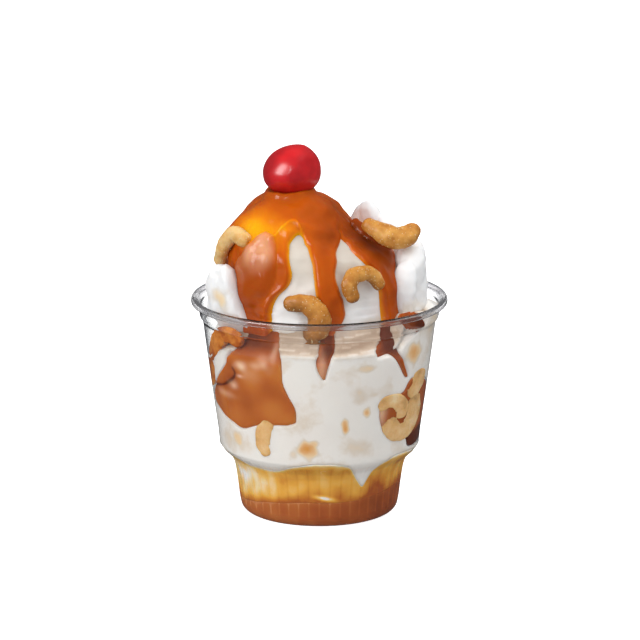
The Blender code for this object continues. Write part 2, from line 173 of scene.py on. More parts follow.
# Cup
# Thin clear plastic drawn into a mould: a rolled rim, a stepped neck, a round
# shoulder and 48 fine flutes round the foot. One closed wall 0.8 mm thick.
WALL = 0.8
FLUTES = 48
cup_outside = [
    (1.4, 22.6), (1.25, 23.2), (0.3, 24), (0, 24.6), (0, 27.6), (0.2, 28.4), (0.8, 29.4),
    (1.8, 30.3), (3.2, 30.8), (5.6, 31.1), (11.3, 31.8), (16.6, 32.6), (19.8, 33.3), (22.3, 34.5),
    (24, 36.1), (25.4, 37.6), (26.5, 38.45), (27, 38.85), (27.3, 39.1), (27.7, 39), (29.5, 39.25),
    (32.1, 39.5),
    (41.7, 40.8), (51.4, 42.15), (61.1, 43.45), (68.3, 44.4), (75.8, 45.35), (76.9, 45.55),
    (77.3, 45.8), (77.6, 46.3), (78.1, 46.55), (80.4, 46.75), (82.6, 46.9), (83.2, 47.3),
]
rolled_rim = [
    (47.7, 83.9), (48.2, 84.55), (48.75, 84.85), (49.15, 84.75), (49.33, 84.3), (49.28, 83.6),
    (49.36, 83.2), (49.62, 83.08),
    (49.84, 83.3), (49.92, 84), (49.84, 84.7), (49.45, 85.3), (48.8, 85.6), (48.1, 85.42), (47.5, 84.9),
    (47.05, 84.1), (46.7, 83.3),
]


def smooth_curve(knots, x):
    """Values at x of a smooth curve through knots of (x, value)."""
    xs, ys = (np.array(column, float) for column in zip(*sorted(knots)))
    slope = np.diff(ys) / np.diff(xs)
    tangent = np.concatenate([slope[:1], (slope[1:] + slope[:-1]) / 2, slope[-1:]])
    turns = np.concatenate([[False], slope[1:] * slope[:-1] <= 0, [False]])
    tangent[turns] = 0
    x = np.clip(x, xs[0], xs[-1])
    i = np.clip(np.searchsorted(xs, x) - 1, 0, len(xs) - 2)
    width = xs[i + 1] - xs[i]
    t = (x - xs[i]) / width
    return (
        ys[i] * (1 + 2 * t) * (1 - t) ** 2
        + ys[i + 1] * t * t * (3 - 2 * t)
        + width * tangent[i] * t * (1 - t) ** 2
        - width * tangent[i + 1] * t * t * (1 - t)
    )


def along_path(points, step):
    """Points at even steps on a smooth curve through the given ones."""
    points = np.array(points, float)
    walk = np.concatenate([[0], np.cumsum(np.linalg.norm(np.diff(points, axis=0), axis=1))])
    s = np.linspace(0, walk[-1], max(2, int(walk[-1] / step)))
    return np.stack([smooth_curve(list(zip(walk, column)), s) for column in points.T], -1)


def at(azimuth, radius, z):
    a = np.radians(azimuth)
    return np.stack(np.broadcast_arrays(radius * np.sin(a), -radius * np.cos(a), z), -1)


def mesh_object(name, points, faces, values):
    """Object in metres from points in mm, with values kept on its points."""
    mesh = bpy.data.meshes.new(name)
    mesh.from_pydata((points * 0.001).tolist(), [], faces)
    for title, value in values.items():
        mesh.attributes.new(title, "FLOAT", "POINT").data.foreach_set("value", value)
    bm = bmesh.new()
    bm.from_mesh(mesh)
    bmesh.ops.recalc_face_normals(bm, faces=bm.faces)
    bm.to_mesh(mesh)
    bm.free()
    mesh.shade_smooth()
    ob = bpy.data.objects.new(name, mesh)
    scene.collection.objects.link(ob)
    return ob


def grid_object(name, grid, first, last, tint=None):
    """Object from rows of points round a closed loop, its ends closed with a point each."""
    rows, columns = grid.shape[:2]
    index = np.arange(rows * columns).reshape(rows, columns)
    beside = np.roll(index, -1, axis=1)
    faces = np.stack([index[:-1], beside[:-1], beside[1:], index[1:]], -1).reshape(-1, 4).tolist()
    tip = rows * columns
    faces += [(b, a, tip) for a, b in zip(index[0].tolist(), beside[0].tolist())]
    faces += [(a, b, tip + 1) for a, b in zip(index[-1].tolist(), beside[-1].tolist())]
    points = np.concatenate([grid.reshape(-1, 3), np.array([first, last], float)])
    values = {} if tint is None else {"tint": np.concatenate([np.ravel(tint), [0, 0]])}
    return mesh_object(name, points, faces, values)


def finish_piece(ob, mat, slot, *nodes):
    """Material, body and the CAD nodes that a piece stands for; slot is not used."""
    ob.data.materials.clear()
    ob.data.materials.append(mat)
    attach(ob, "root")
    if nodes:
        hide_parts(*nodes)


def shell_object(name, outer, inner, keep, tint, painted_sheen, wrap=True):
    """Closed skin between two grids of points, only over the cells in keep."""
    rows, columns = outer.shape[:2]
    count = rows * columns
    index = np.arange(count).reshape(rows, columns)
    beside = np.roll(index, -1, axis=1)
    last = columns if wrap else columns - 1
    corners = np.stack([index[:-1], beside[:-1], beside[1:], index[1:]], -1)[:, :last]
    cells = corners[keep]
    sides = {}
    for cell in cells.tolist():
        for a, b in zip(cell, cell[1:] + cell[:1]):
            if (b, a) in sides:
                del sides[(b, a)]
            else:
                sides[(a, b)] = True
    hem = np.array([(b, a, a + count, b + count) for a, b in sides])
    quads = np.concatenate([cells, cells[:, ::-1] + count, hem])
    used, quads = np.unique(quads, return_inverse=True)
    points = np.concatenate([outer.reshape(-1, 3), inner.reshape(-1, 3)])[used]
    values = {title: np.tile(np.ravel(value), 2)[used] for title, value in (("tint", tint), ("painted_sheen", painted_sheen))}
    return mesh_object(name, points, quads.reshape(-1, 4).tolist(), values)


def inside(z):
    """Radius of the inside of the cup's wall."""
    heights, radii = zip(*cup_outside[10:])
    heights = (0.9, 1.1, 1.7, 2.8, 4.2) + heights
    radii = (28.3, 29.1, 30.1, 30.8, 31.2) + radii
    return np.interp(z, heights, radii) - WALL


def node_group(name, first, inputs):
    """New geometry tree with a geometry input and named values."""
    tree = bpy.data.node_groups.new(name, "GeometryNodeTree")
    tree.interface.new_socket("Geometry", in_out="OUTPUT", socket_type="NodeSocketGeometry")
    tree.interface.new_socket(first, in_out="INPUT", socket_type="NodeSocketGeometry")
    for title, kind, value in inputs:
        tree.interface.new_socket(title, in_out="INPUT", socket_type=kind).default_value = value
    return tree, tree.nodes.new("NodeGroupInput").outputs, tree.nodes.new("NodeGroupOutput").inputs


def shaped_mesh(ob, tree, values):
    """Plain mesh that the tree makes from an object with the given values."""
    made = ob.modifiers.new(tree.name, "NODES")
    made.node_group = tree
    for item in tree.interface.items_tree:
        if item.in_out == "INPUT" and item.name in values:
            made[item.identifier] = values[item.name]
    view = bpy.context.evaluated_depsgraph_get()
    mesh = bpy.data.meshes.new_from_object(ob.evaluated_get(view))
    ob.modifiers.remove(made)
    return mesh


def flute_tree(plastic):
    """Ridges at even turns round the axis, as strong as the fade attribute."""
    tree, given, result = node_group(
        "flutes",
        "Cup",
        [
            ("Flutes", "NodeSocketInt", FLUTES),
            ("Ridge height", "NodeSocketFloat", 0.00034),
            ("Ridge sharpness", "NodeSocketFloat", 8.7),
            ("Hollow depth", "NodeSocketFloat", 0.00012),
        ],
    )
    place = add_node(tree, "GeometryNodeInputPosition", {})
    split = add_node(tree, "ShaderNodeSeparateXYZ", {"Vector": place.outputs["Position"]}).outputs
    turn = math_value(tree, "ARCTAN2", split["Y"], split["X"])
    wave = math_value(tree, "COSINE", math_value(tree, "MULTIPLY", turn, given["Flutes"]))
    wave = math_value(tree, "MULTIPLY_ADD", wave, 0.5, 0.5)
    ridge = math_value(tree, "POWER", wave, given["Ridge sharpness"])
    ridge = math_value(tree, "MULTIPLY", ridge, given["Ridge height"])
    rise = math_value(tree, "SUBTRACT", ridge, math_value(tree, "MULTIPLY", wave, given["Hollow depth"]))
    fade = add_node(tree, "GeometryNodeInputNamedAttribute", {"Name": "tint"}, data_type="FLOAT")
    rise = math_value(tree, "MULTIPLY", rise, fade.outputs["Attribute"])
    flat = add_node(tree, "ShaderNodeCombineXYZ", {"X": split["X"], "Y": split["Y"]})
    unit = add_node(tree, "ShaderNodeVectorMath", {0: flat.outputs["Vector"]}, operation="NORMALIZE")
    push = add_node(
        tree, "ShaderNodeVectorMath", {0: unit.outputs["Vector"], "Scale": rise}, operation="SCALE"
    )
    move = add_node(
        tree, "GeometryNodeSetPosition", {"Geometry": given["Cup"], "Offset": push.outputs["Vector"]}
    )
    dress = add_node(
        tree, "GeometryNodeSetMaterial", {"Geometry": move.outputs["Geometry"], "Material": plastic}
    )
    tree.links.new(dress.outputs["Geometry"], result["Geometry"])
    return tree


def build_cup(plastic):
    outer = along_path([(r, z) for z, r in cup_outside], 0.6)
    bead = along_path(rolled_rim, 0.22)
    inner = [(r - WALL, z) for z, r in cup_outside[:9:-1]]
    inner += [
        (30.38, 4.2), (29.98, 2.8), (29.28, 1.7), (28.28, 1.1), (27.4, 0.88), (25.2, 0.95), (24.0, 1.3),
        (23.0, 2.05), (22.0, 2.2),
    ]
    profile = np.concatenate([outer, bead, along_path(inner[1:], 1.0)])
    azimuth = np.arange(480) * 0.75
    grid = np.stack([at(azimuth, r, z) for r, z in profile])
    low = outer[:, 1]
    fade = np.zeros(grid.shape[:2])
    fade[8 : len(outer)] = (np.clip((low - 3.4) / 2.2, 0, 1) * np.clip((27.0 - low) / 2.5, 0, 1))[8:, None]
    cup = grid_object("clear_cup", grid, (0, 0, 1.4), (0, 0, 2.2), fade)
    cup.data = shaped_mesh(cup, flute_tree(plastic), {"Flutes": FLUTES, "Ridge height": 0.00034})
    return cup


def set_input(tree, title, source):
    tree.links.new(source, tree.nodes["Principled BSDF"].inputs[title])


def object_noise(tree, scale, detail, roughness=0.5):
    place = tree.nodes.new("ShaderNodeTexCoord").outputs["Object"]
    values = {"Vector": place, "Scale": scale, "Detail": detail, "Roughness": roughness}
    return add_node(tree, "ShaderNodeTexNoise", values).outputs["Fac"]


def rough_skin(tree, height, strength, distance):
    bump = add_node(tree, "ShaderNodeBump", {"Height": height, "Strength": strength, "Distance": distance})
    set_input(tree, "Normal", bump.outputs["Normal"])


def height_share(tree, low, high):
    """0 up to the low height in metres and 1 from the high one."""
    place = tree.nodes.new("ShaderNodeTexCoord").outputs["Object"]
    split = add_node(tree, "ShaderNodeSeparateXYZ", {"Vector": place})
    values = {"Value": split.outputs["Z"], "From Min": low, "From Max": high}
    return add_node(tree, "ShaderNodeMapRange", values).outputs["Result"]


def mixed_color(tree, share, first, second, blend="MIX"):
    colors = {0: share, 6: first, 7: second}
    return add_node(tree, "ShaderNodeMix", colors, data_type="RGBA", blend_type=blend).outputs[2]


def clear_plastic():
    mat, tree = new_material("clear plastic", {"IOR": 1.55, "Transmission Weight": 1.0})
    # light reaches the food as if the wall were not there
    path = add_node(tree, "ShaderNodeLightPath", {}).outputs
    straight = math_value(tree, "MAXIMUM", path["Is Shadow Ray"], path["Is Diffuse Ray"])
    mix_surface(
        tree, straight, add_node(tree, "ShaderNodeBsdfTransparent", {"Color": (0.99, 0.99, 0.99, 1)})
    )
    # the rolled rim is thicker, so it looks softer; it is tinted grey as painted shade
    rim = height_share(tree, 0.0822, 0.0834)
    set_input(tree, "Base Color", mixed_color(tree, rim, (0.985, 0.99, 0.99, 1), (0.87, 0.86, 0.87, 1)))
    soft = add_node(tree, "ShaderNodeMapRange", {"Value": rim, "To Min": 0.03, "To Max": 0.16})
    set_input(tree, "Roughness", soft.outputs["Result"])
    rough_skin(tree, object_noise(tree, 90, 2), 0.02, 0.001)
    return mat


plastic = clear_plastic()
finish_piece(build_cup(plastic), plastic, "clear_plastic", "cup")


# Frozen custard
# Soft-serve custard, off-white and moist: the fill pressed against the wall,
# the scoop that stands on it and the upright curls at its sides.
SEAT = 68.5
fill_top = [
    (-90, 62), (-75, 63.2), (-66, 66.8), (-57, 69.6), (-46, 71.4), (-18, 71.2), (15, 71), (30, 71.2),
    (44, 71.6), (50, 76), (55, 81), (80, 81.5), (150, 77), (210, 73), (250, 69),
]
melt_top = [
    (-76, 27), (-61, 25.9), (-49, 23.9), (-29, 23.2), (-19, 25.6), (-11, 27), (0, 27.8), (10, 27.5),
    (18, 26), (24, 21.4), (28.5, 17.4), (31, 16.2),
    (34, 18.6), (38, 24), (44, 27), (55, 27.9), (67, 27.5), (80, 26.5), (120, 24), (150, 25.5),
    (200, 27.5), (240, 25.5), (265, 27.5),
]
pool_top = [
    (-75, 6.2), (-55, 7.3), (-41, 8.5), (-24, 9.6), (-8, 10.4), (8, 10.2), (19, 10.3), (35, 10.8),
    (50, 11.6), (66, 12.8), (85, 12.6), (120, 11), (200, 11), (250, 8),
]


def around(knots, azimuth):
    """Smooth value round a full turn from knots of (azimuth, value)."""
    lapped = [(a + turn, v) for turn in (-360, 0, 360) for a, v in knots]
    return smooth_curve(lapped, (np.asarray(azimuth) + 180) % 360 - 180)


def lumps(points, size, seed):
    """Smooth noise at points in mm, about -1 to 1."""
    shift = Vector((seed * 7.3, seed * 3.1, seed * 5.7))
    flat = points.reshape(-1, 3) / size
    values = [noise.noise(Vector(p) + shift) for p in flat.tolist()]
    return np.array(values).reshape(points.shape[:-1]) * 1.6


def color_ramp(tree, value, stops):
    """Colour by value, from stops of position and colour."""
    ramp = add_node(tree, "ShaderNodeValToRGB", {"Fac": value})
    elements = ramp.color_ramp.elements
    for element, (position, color) in zip(elements, (stops[0], stops[-1])):
        element.position = position
        element.color = (*color, 1)
    for position, color in stops[1:-1]:
        elements.new(position).color = (*color, 1)
    return ramp.outputs["Color"]


def uneven_tint(tree, scale, detail, swing):
    """The tint kept on the points, with noise of a swing either way added."""
    tint = add_node(tree, "ShaderNodeAttribute", {}, attribute_name="tint").outputs["Fac"]
    uneven = math_value(tree, "MULTIPLY_ADD", object_noise(tree, scale, detail), 2 * swing, -swing)
    return math_value(tree, "ADD", tint, uneven)


def custard_material(name, tone, stains_and_shade, pressed=False, shade=None):
    """Custard of a tone, stained and given painted shade by the tint of its points, and darker high up by a
    painted shade colour.
    """
    mat, tree = new_material(
        name,
        {
            "Roughness": 0.42,
            "Subsurface Weight": 0.45,
            "Subsurface Radius": (1.0, 0.95, 0.9),
            "Subsurface Scale": 0.003,
            "Coat Weight": 0.0 if pressed else 0.15,
            "Coat Roughness": 0.3,
            "Specular IOR Level": 0.05 if pressed else 0.5,
        },
    )
    plain = color_ramp(tree, object_noise(tree, 60, 4), [(0.35, [c * 0.96 for c in tone]), (0.65, tone)])
    stain_and_shade = color_ramp(tree, uneven_tint(tree, 420, 3, 0.15), [(0.08, (1, 1, 1)), *stains_and_shade])
    color = mixed_color(tree, 1.0, plain, stain_and_shade, "MULTIPLY")
    # painted shade on the scoop, high up under the edge of the sauce
    if shade:
        color = mixed_color(tree, height_share(tree, 0.086, 0.101), color, (*shade, 1), "MULTIPLY")
    set_input(tree, "Base Color", color)
    rough_skin(tree, object_noise(tree, 700, 5), 0.25, 0.0004)
    return mat


# tint stops: the grey-beige one is painted shade, the orange ones caramel melted into the custard
melt_stains_and_shade = [(0.26, (0.88, 0.83, 0.76)), (0.5, (0.97, 0.78, 0.52)), (1.0, (0.86, 0.42, 0.12))]
custard = custard_material("frozen custard", (0.96, 0.94, 0.91), melt_stains_and_shade, shade=(0.69, 0.64, 0.57))
custard_curls = custard_material("frozen custard curls", (0.95, 0.94, 0.92), melt_stains_and_shade)
custard_at_wall = custard_material("frozen custard at wall", (0.95, 0.885, 0.81), melt_stains_and_shade, pressed=True)
# its tint stops are the colours of painted shade
custard_ledges_in_painted_shade = custard_material(
    "frozen custard ledges in painted shade", (0.92, 0.87, 0.8), [(0.5, (0.74, 0.62, 0.52)), (1.0, (0.46, 0.34, 0.26))],
    pressed=True
)


# radius of the wall halfway up, and mm along it for each degree
WALL_RADIUS = 42.0
FLAT = math.radians(1) * WALL_RADIUS


def unrolled(line):
    """Points in mm on a smooth line of azimuths and heights, the wall laid flat."""
    knots = np.array(line, float)
    t = np.arange(len(knots))
    s = np.arange(0, len(knots) - 0.99, 0.125)
    return np.stack([smooth_curve(list(zip(t, column)), s) for column in knots.T], -1) * (FLAT, 1)


def line_distance(a, b, azimuth, z):
    """Distance in mm from the nearest of the pieces from a to b."""
    p = np.stack(np.broadcast_arrays(azimuth * FLAT, z), -1)[..., None, :]
    edge = b - a
    share = np.clip(((p - a) * edge).sum(-1) / ((edge ** 2).sum(-1) + 1e-9), 0, 1)
    return np.linalg.norm(p - a - share[..., None] * edge, axis=-1).min(axis=-1)


def outline_depth(outline, azimuth, z):
    """Distance in mm inside a closed outline on the wall, negative outside."""
    a = unrolled(outline[-2:] + outline + outline[:2])[16 : 8 * (len(outline) + 2)]
    b = np.roll(a, -1, axis=0)
    distance = line_distance(a, b, azimuth, z)
    p = np.stack(np.broadcast_arrays(azimuth * FLAT, z), -1)[..., None, :]
    crosses = (a[:, 1] > p[..., 1]) != (b[:, 1] > p[..., 1])
    with np.errstate(divide="ignore", invalid="ignore"):
        hit = a[:, 0] + (p[..., 1] - a[:, 1]) / (b[:, 1] - a[:, 1]) * (b - a)[:, 0]
    odd = (crosses & (p[..., 0] < hit)).sum(axis=-1) % 2 == 1
    return np.where(odd, distance, -distance)


def lean_in(azimuth, z):
    """How far the sauce stands in from the wall as it rises to the scoop."""
    start = 67.0 + 1.6 * np.sin(np.radians(azimuth * 7))
    return 9.0 * np.clip((z - start) / (77.0 - start), 0, 1.4) ** 1.8


# outlines of azimuth and height where sauce lies against the wall
pool_left = [
    (-47.9, 82.3), (-47.9, 77.6), (-46.3, 74.5), (-48.6, 71.7), (-54.9, 67.6), (-56.9, 64.2),
    (-65, 58.8), (-76.6, 51.1),
    (-78.3, 46.7), (-68.6, 42.7), (-57, 40.2), (-48, 38.7), (-36.1, 41.5), (-23.2, 42.7), (-16.2, 43.2),
    (-12.2, 45),
    (-12.5, 49.9), (-16.5, 55.9), (-19, 61.8), (-18.9, 67.5), (-19.8, 70.9), (-22, 73.2), (-25.2, 75.9),
    (-28, 80.2),
    (-28.4, 84.3),
]
pool_right = [
    (52, 84), (49, 80.5), (44, 78.2), (40.6, 76.4), (37.6, 74.4), (31.3, 72.7), (30, 70.7), (31.7, 69.3),
    (37, 69.7), (41.1, 68.2), (44.8, 64.8),
    (50.1, 59.6), (53.6, 59.1), (51.2, 63.1), (48, 67.1), (45.8, 70.6), (47.4, 73.2), (52.8, 75.6),
    (57.6, 77.4), (63, 80.8), (63.5, 84),
]
pool_low = [
    (34, 48.3), (35.4, 52.6), (42.1, 53.4), (49.8, 53.6), (54.1, 57.4), (59.4, 58.5), (78.9, 53.9),
    (88, 44), (88, 33.8),
    (80.3, 28.8), (62.3, 29.5), (57.5, 33.6), (46, 34.5), (38.2, 38.8), (34.6, 44.1),
]
pool_run = [
    (1, 82.6), (0.4, 76), (-0.7, 72.9), (-2.3, 69.5), (-1.2, 65.9), (1.4, 62.4), (2.9, 62), (3.9, 64),
    (5.6, 68.7),
    (7.5, 72.2), (9.2, 75.9), (9.9, 82.4),
]
pool_spot = [(43, 84.5), (48, 85.5), (54, 84.5), (61, 80.5), (62, 77.8), (52, 78.8), (47, 81)]
pool_back = [
    (150, 62), (155, 52), (160, 42), (172, 37.5), (186, 40), (198, 46), (203, 56), (199, 65), (188, 70),
    (176, 66), (164, 69),
]
# nuts under the custard's skin: azimuth, height, reach across and up in mm, strength
sunk_nuts = [
    (-53, 34.5, 3.6, 3, 0.55), (-14.5, 31.6, 2, 2.2, 0.35), (-7, 33.8, 4.2, 3.2, 0.95),
    (-3.5, 36, 2.6, 1.6, 0.6),
    (14.2, 42.4, 1.3, 3, 0.95), (26, 48, 1.4, 1.6, 0.8), (24.5, 66, 4.4, 1.6, 0.42),
    (10, 73.5, 1.8, 0.8, 0.5),
    (55.5, 68.6, 4.8, 3.9, 0.85), (30, 55, 3, 1.2, 0.3), (150, 33, 4, 3, 0.7), (215, 36, 3.6, 2.6, 0.7),
    (235, 50, 3.2, 3.4, 0.8), (118, 62, 3.6, 2.6, 0.7), (108, 36, 3, 2.4, 0.5), (186, 30, 3, 2, 0.5),
]


def layer_grid(low, high, rows, step=1.0):
    """Azimuths and heights on a layer's side against the wall."""
    azimuth = np.arange(0, 360, step)
    t = np.linspace(0, 1, rows)[:, None]
    z = low(azimuth)[None] + (high(azimuth) - low(azimuth))[None] * t
    return azimuth, np.broadcast_to(azimuth, z.shape), z


def build_fill():
    _, across, z = layer_grid(lambda a: around(melt_top, a), lambda a: around(fill_top, a), 96, 0.75)
    turned = (across + 180) % 360 - 180
    dent = np.zeros(z.shape)
    for outline, lean in ((pool_left, 1), (pool_right, 1), (pool_run, 1), (pool_low, 0), (pool_back, 0)):
        place = across if outline is pool_back else turned
        inward = np.clip((outline_depth(outline, place, z) + 0.2) / 1.2, 0, 1)
        dent = np.maximum(dent, inward * (1.4 + lean * lean_in(place, z)))
    radius = inside(z) + 0.12 - dent
    side = at(across, radius, z)
    stain_and_shade = np.zeros(z.shape)
    for place, height, wide, high, strength in sunk_nuts:
        away = np.radians((across - place + 180) % 360 - 180) * WALL_RADIUS
        blot = ((away / wide) ** 2 + ((z - height) / high) ** 2) * (1 + 0.5 * lumps(side, 3.0, 61))
        stain_and_shade = np.maximum(stain_and_shade, strength * np.exp(-np.clip(blot, 0, 30) ** 1.3))
    stain_and_shade = np.maximum(stain_and_shade, 0.3 * np.clip(lumps(side, 11, 65), 0, 1))
    low = z - around(melt_top, across)
    stain_and_shade = np.maximum(stain_and_shade, 0.3 * np.exp(-low / 1.6))
    # a grey-beige band along the top edge is painted shade under the scoop
    edge = around(fill_top, across) - z
    stain_and_shade = np.maximum(stain_and_shade, 0.28 * np.exp(-edge / 1.2))
    return grid_object("custard_body", side, (0, 0, 24), (0, 0, SEAT - 1), stain_and_shade), radius[-1]


def build_ledges(edge):
    """Custard drawn in from the fill's edge, up to the scoop, in soft ledges."""
    azimuth = np.arange(0, 360, 0.75)
    turned = (azimuth + 180) % 360 - 180
    top = around(fill_top, azimuth)
    rows = [at(azimuth, edge - 3.0, top - 2.5), at(azimuth, edge - 0.1, top - 0.1)]
    for t in np.linspace(0.04, 1, 18):
        height = top + (np.maximum(80.5, top + 0.5) - top) * t
        drawn = np.maximum(lean_in(turned, height), 1.1 * (height - top)) + 0.5
        reach = np.maximum(inside(height) - drawn, 44.0 - 16.0 * t)
        for outline in (pool_left, pool_right, pool_run):
            reach = reach - 1.8 * np.clip((outline_depth(outline, turned, height) + 0.4) / 1.2, 0, 1)
        rows.append(at(azimuth, reach, height))
    grid = np.stack(rows)
    ledge = (grid[..., 2] + 1.2 * lumps(grid, 14, 6)) / 2.6 % 1.0
    step = (
        0.02 * (np.where(ledge < 0.75, ledge / 0.75, (1 - ledge) / 0.25) - 0.5)
        + 0.012 * lumps(grid, 5, 3)
    )
    step[:2] = 0
    grid[..., :2] *= (1 + step)[..., None]
    # painted shade of the scoop lies on it, strongest at the front and away from the fill's edge, in streaky
    # bands and painted lighter on part of each ledge's lip; caramel is melted into it at the front
    front = np.clip((88 - np.abs(turned)) / 16, 0.1, 1) * np.clip(np.arange(len(rows)) / 4, 0.2, 1)[:, None]
    bands = lumps(grid * np.array([0.5, 0.5, 3.0]), 8, 27)
    stain_and_shade = front * np.clip(0.74 + 0.3 * bands - 0.25 * (ledge > 0.62) * (ledge < 0.8), 0, 1)
    return grid_object("custard_ledges_in_painted_shade", grid, (0, 0, 57), (0, 0, SEAT - 1), stain_and_shade)


body, fill_edge = build_fill()
finish_piece(body, custard_at_wall, "custard", "custard_fill")
finish_piece(build_ledges(fill_edge), custard_ledges_in_painted_shade, "custard")

# radius, height and shift to the left of the scoop's middle
scoop_outline = [
    (0, 126, 10.2), (7.5, 125, 10.2), (13.6, 121.8, 10.1), (18.6, 116.8, 10.3), (23.2, 111.4, 10.6),
    (27, 107.6, 7.9), (30.2, 104, 4.6), (32, 98.5, 2.4), (32.6, 91, 1.4), (33, 82, 0.7),
    (32.6, 75, 0.4), (28, 69.6, 0.2), (20, 68.4, 0),
]


def scoop_profile(count):
    radii, heights, shifts = (np.array(column) for column in zip(*scoop_outline))
    walk = np.concatenate([[0], np.cumsum(np.hypot(np.diff(radii), np.diff(heights)))])
    s = np.linspace(0, walk[-1], count)
    r, z, shift = (smooth_curve(list(zip(walk, v)), s) for v in (radii, heights, shifts))
    along = np.stack([np.gradient(r, s), np.gradient(z, s)])
    along /= np.linalg.norm(along, axis=0)
    return r, z, shift, -along[1], along[0]


def scoop_grid(azimuth, rows, push):
    """The scoop's surface, pushed outwards by push, one value for each point."""
    r, z, shift, out, up = scoop_profile(rows)
    fade = np.clip((121 - z) / 14, 0, 1) * np.clip((z - 70) / 8, 0, 1)
    wave = np.sin(np.radians(3 * azimuth[None] + 1.6 * z[:, None] + 40))
    radius = r[:, None] + 0.7 * fade[:, None] * wave
    grid = at(azimuth[None], radius + push * out[:, None], z[:, None] + push * up[:, None])
    grid[..., 0] -= shift[:, None]
    return grid, r, z


def scoop_lumps(azimuth, rows):
    """Unevenness of the custard: soft lumps and, low down, layered ledges."""
    grid, r, z = scoop_grid(azimuth, rows, np.zeros((rows, len(azimuth))))
    soft = 0.85 * lumps(grid, 9, 1) + 0.3 * lumps(grid, 4, 2)
    height = z[:, None] + 1.6 * lumps(grid, 16, 6)
    low = np.clip((93 - height) / 8, 0, 1)
    ledge = (height / 3.1) % 1.0
    ledge = np.where(ledge < 0.8, ledge / 0.8, (1 - ledge) / 0.2)
    ridges = low * np.clip(0.25 + 0.75 * lumps(grid * np.array([1, 1, 0.4]), 12, 9), 0, 1)
    return soft + 0.75 * ridges * ledge


def build_scoop():
    azimuth = np.arange(0, 360, 1.0)
    grid, r, z = scoop_grid(azimuth, 240, scoop_lumps(azimuth, 240))
    # grey-beige streaks low on the scoop are painted shade in bands
    bands = np.clip(0.2 + 0.16 * lumps(grid * np.array([0.5, 0.5, 3.0]), 8, 27), 0, 0.4)
    stain_and_shade = bands * np.clip((84.5 - z) / 5, 0, 1)[:, None]
    return grid_object("custard_scoop_soft", grid[1:], grid[0, 0], grid[-1].mean(axis=0), stain_and_shade[1:])


finish_piece(build_scoop(), custard, "custard", "custard_scoop")


def build_leaf(name, path, foot, seed, stains_and_shade=(), tuck=0.0):
    """Upright leaf of custard along a path of x, y, top and thickness.

    Its lowest 10 mm are drawn in from the wall by the share tuck.
    """
    spots = along_path(path, 0.5)
    heading = np.gradient(spots[:, :2], axis=0)
    step = np.linalg.norm(heading, axis=1)
    heading /= step[:, None]
    walk = np.cumsum(step)
    end = np.minimum(walk - walk[0], walk[-1] - walk) + 0.3
    reach = spots[:, 3] * 0.5
    round_end = np.sqrt(np.clip(1 - (1 - np.clip(end / reach, 0, 1)) ** 2, 0, 1))
    rows = []
    for (x, y, top, width), (hx, hy), less in zip(spots, heading, round_end):
        cap = min(width * 0.75, (top - foot) * 0.6)
        turn = np.radians(np.linspace(0, 180, 44))
        bow = np.sign(np.cos(turn)) * np.abs(np.cos(turn)) ** 0.8
        side = np.concatenate([np.full(30, 0.5), bow / 2, np.full(30, -0.5)]) * width * less
        peak = top - cap * (1 - less) * 0.8
        arch = peak - cap + cap * np.sin(turn) ** 0.9
        rise = np.linspace(foot, peak - cap, 30, endpoint=False)
        rows.append(np.stack([x - hy * side, y + hx * side, np.concatenate([rise, arch, rise[::-1]])], -1))
    grid = np.stack(rows)
    push = 0.8 * lumps(grid * np.array([1, 1, 0.6]), 7, seed) + 0.3 * lumps(grid, 3.0, seed + 1)
    turned = walk[:, None] * 21 + 14 * lumps(grid * np.array([1, 1, 0.5]), 9, seed + 2)
    folds = 1 - 2 * np.abs(np.sin(np.radians(turned))) ** 0.7
    push -= 0.6 * folds * np.clip((grid[..., 2] - foot) / 8, 0, 1) * round_end[:, None]
    middle = grid.mean(axis=1, keepdims=True)
    out = grid - middle
    out[..., 2] *= 0.3
    out /= np.linalg.norm(out, axis=-1, keepdims=True) + 1e-9
    grid += out * push[..., None]
    grid[..., :2] *= (1 - tuck * np.clip((84 - grid[..., 2]) / 10, 0, 1))[..., None]
    # spots of painted shade, coloured through the custard's tint stops
    stain_and_shade = np.zeros(grid.shape[:2])
    for x, z, wide, high, strength in stains_and_shade:
        away = ((grid[..., 0] - x) / wide) ** 2 + ((grid[..., 2] - z) / high) ** 2
        stain_and_shade += strength * np.exp(-away * (1 + 0.6 * lumps(grid, 3, 77)))
    return grid_object(name, grid, grid[0].mean(axis=0), grid[-1].mean(axis=0), stain_and_shade)


curl_left = [
    (-42, -12, 86, 3.6), (-41.2, -13.5, 94, 5.2), (-39.4, -16, 100.4, 6.5), (-36.6, -18.5, 102.4, 7),
    (-33.6, -20.5, 99.7, 7), (-31, -22.5, 92, 6.2), (-29, -25, 82, 5), (-28, -27, 76, 4),
]
curl_right = [
    (8, 18, 105, 5), (12.5, 19, 112, 7), (17, 18.5, 118, 7), (19.5, 17.8, 118.6, 7),
    (24.5, 15.5, 113.6, 8.5),
    (30, 11.5, 109.5, 10.5), (34, 5.5, 107.5, 12), (35.2, -1.5, 107.8, 12.5), (34.8, -8, 106.5, 12),
    (33.2, -14, 102.5, 10),
    (31.2, -18.5, 94, 8),
]
# painted shade in a hollow low on the left curl's face
left_painted_shade = [(-38.5, 90.5, 3.2, 3.0, 0.42), (-36.5, 86.5, 2.5, 3.0, 0.3)]
leaf = build_leaf("curl_at_left", curl_left, 70, 5, left_painted_shade, 0.15)
finish_piece(leaf, custard_curls, "custard", "custard_curl_left")
# painted shade at the foot of the right curl
leaf = build_leaf("curl_at_right", curl_right, 82.5, 8, [(33.5, 84.5, 7.0, 4.0, 0.26)])
finish_piece(leaf, custard_curls, "custard", "custard_curl_right")


# Caramel
# Thick glossy sauce: amber where it is thin and red-brown where it is deep. It
# covers the scoop, runs down it in drips and pools against the wall. Painted light
# and painted shade are in its colour too.
sauce_line = 114.6
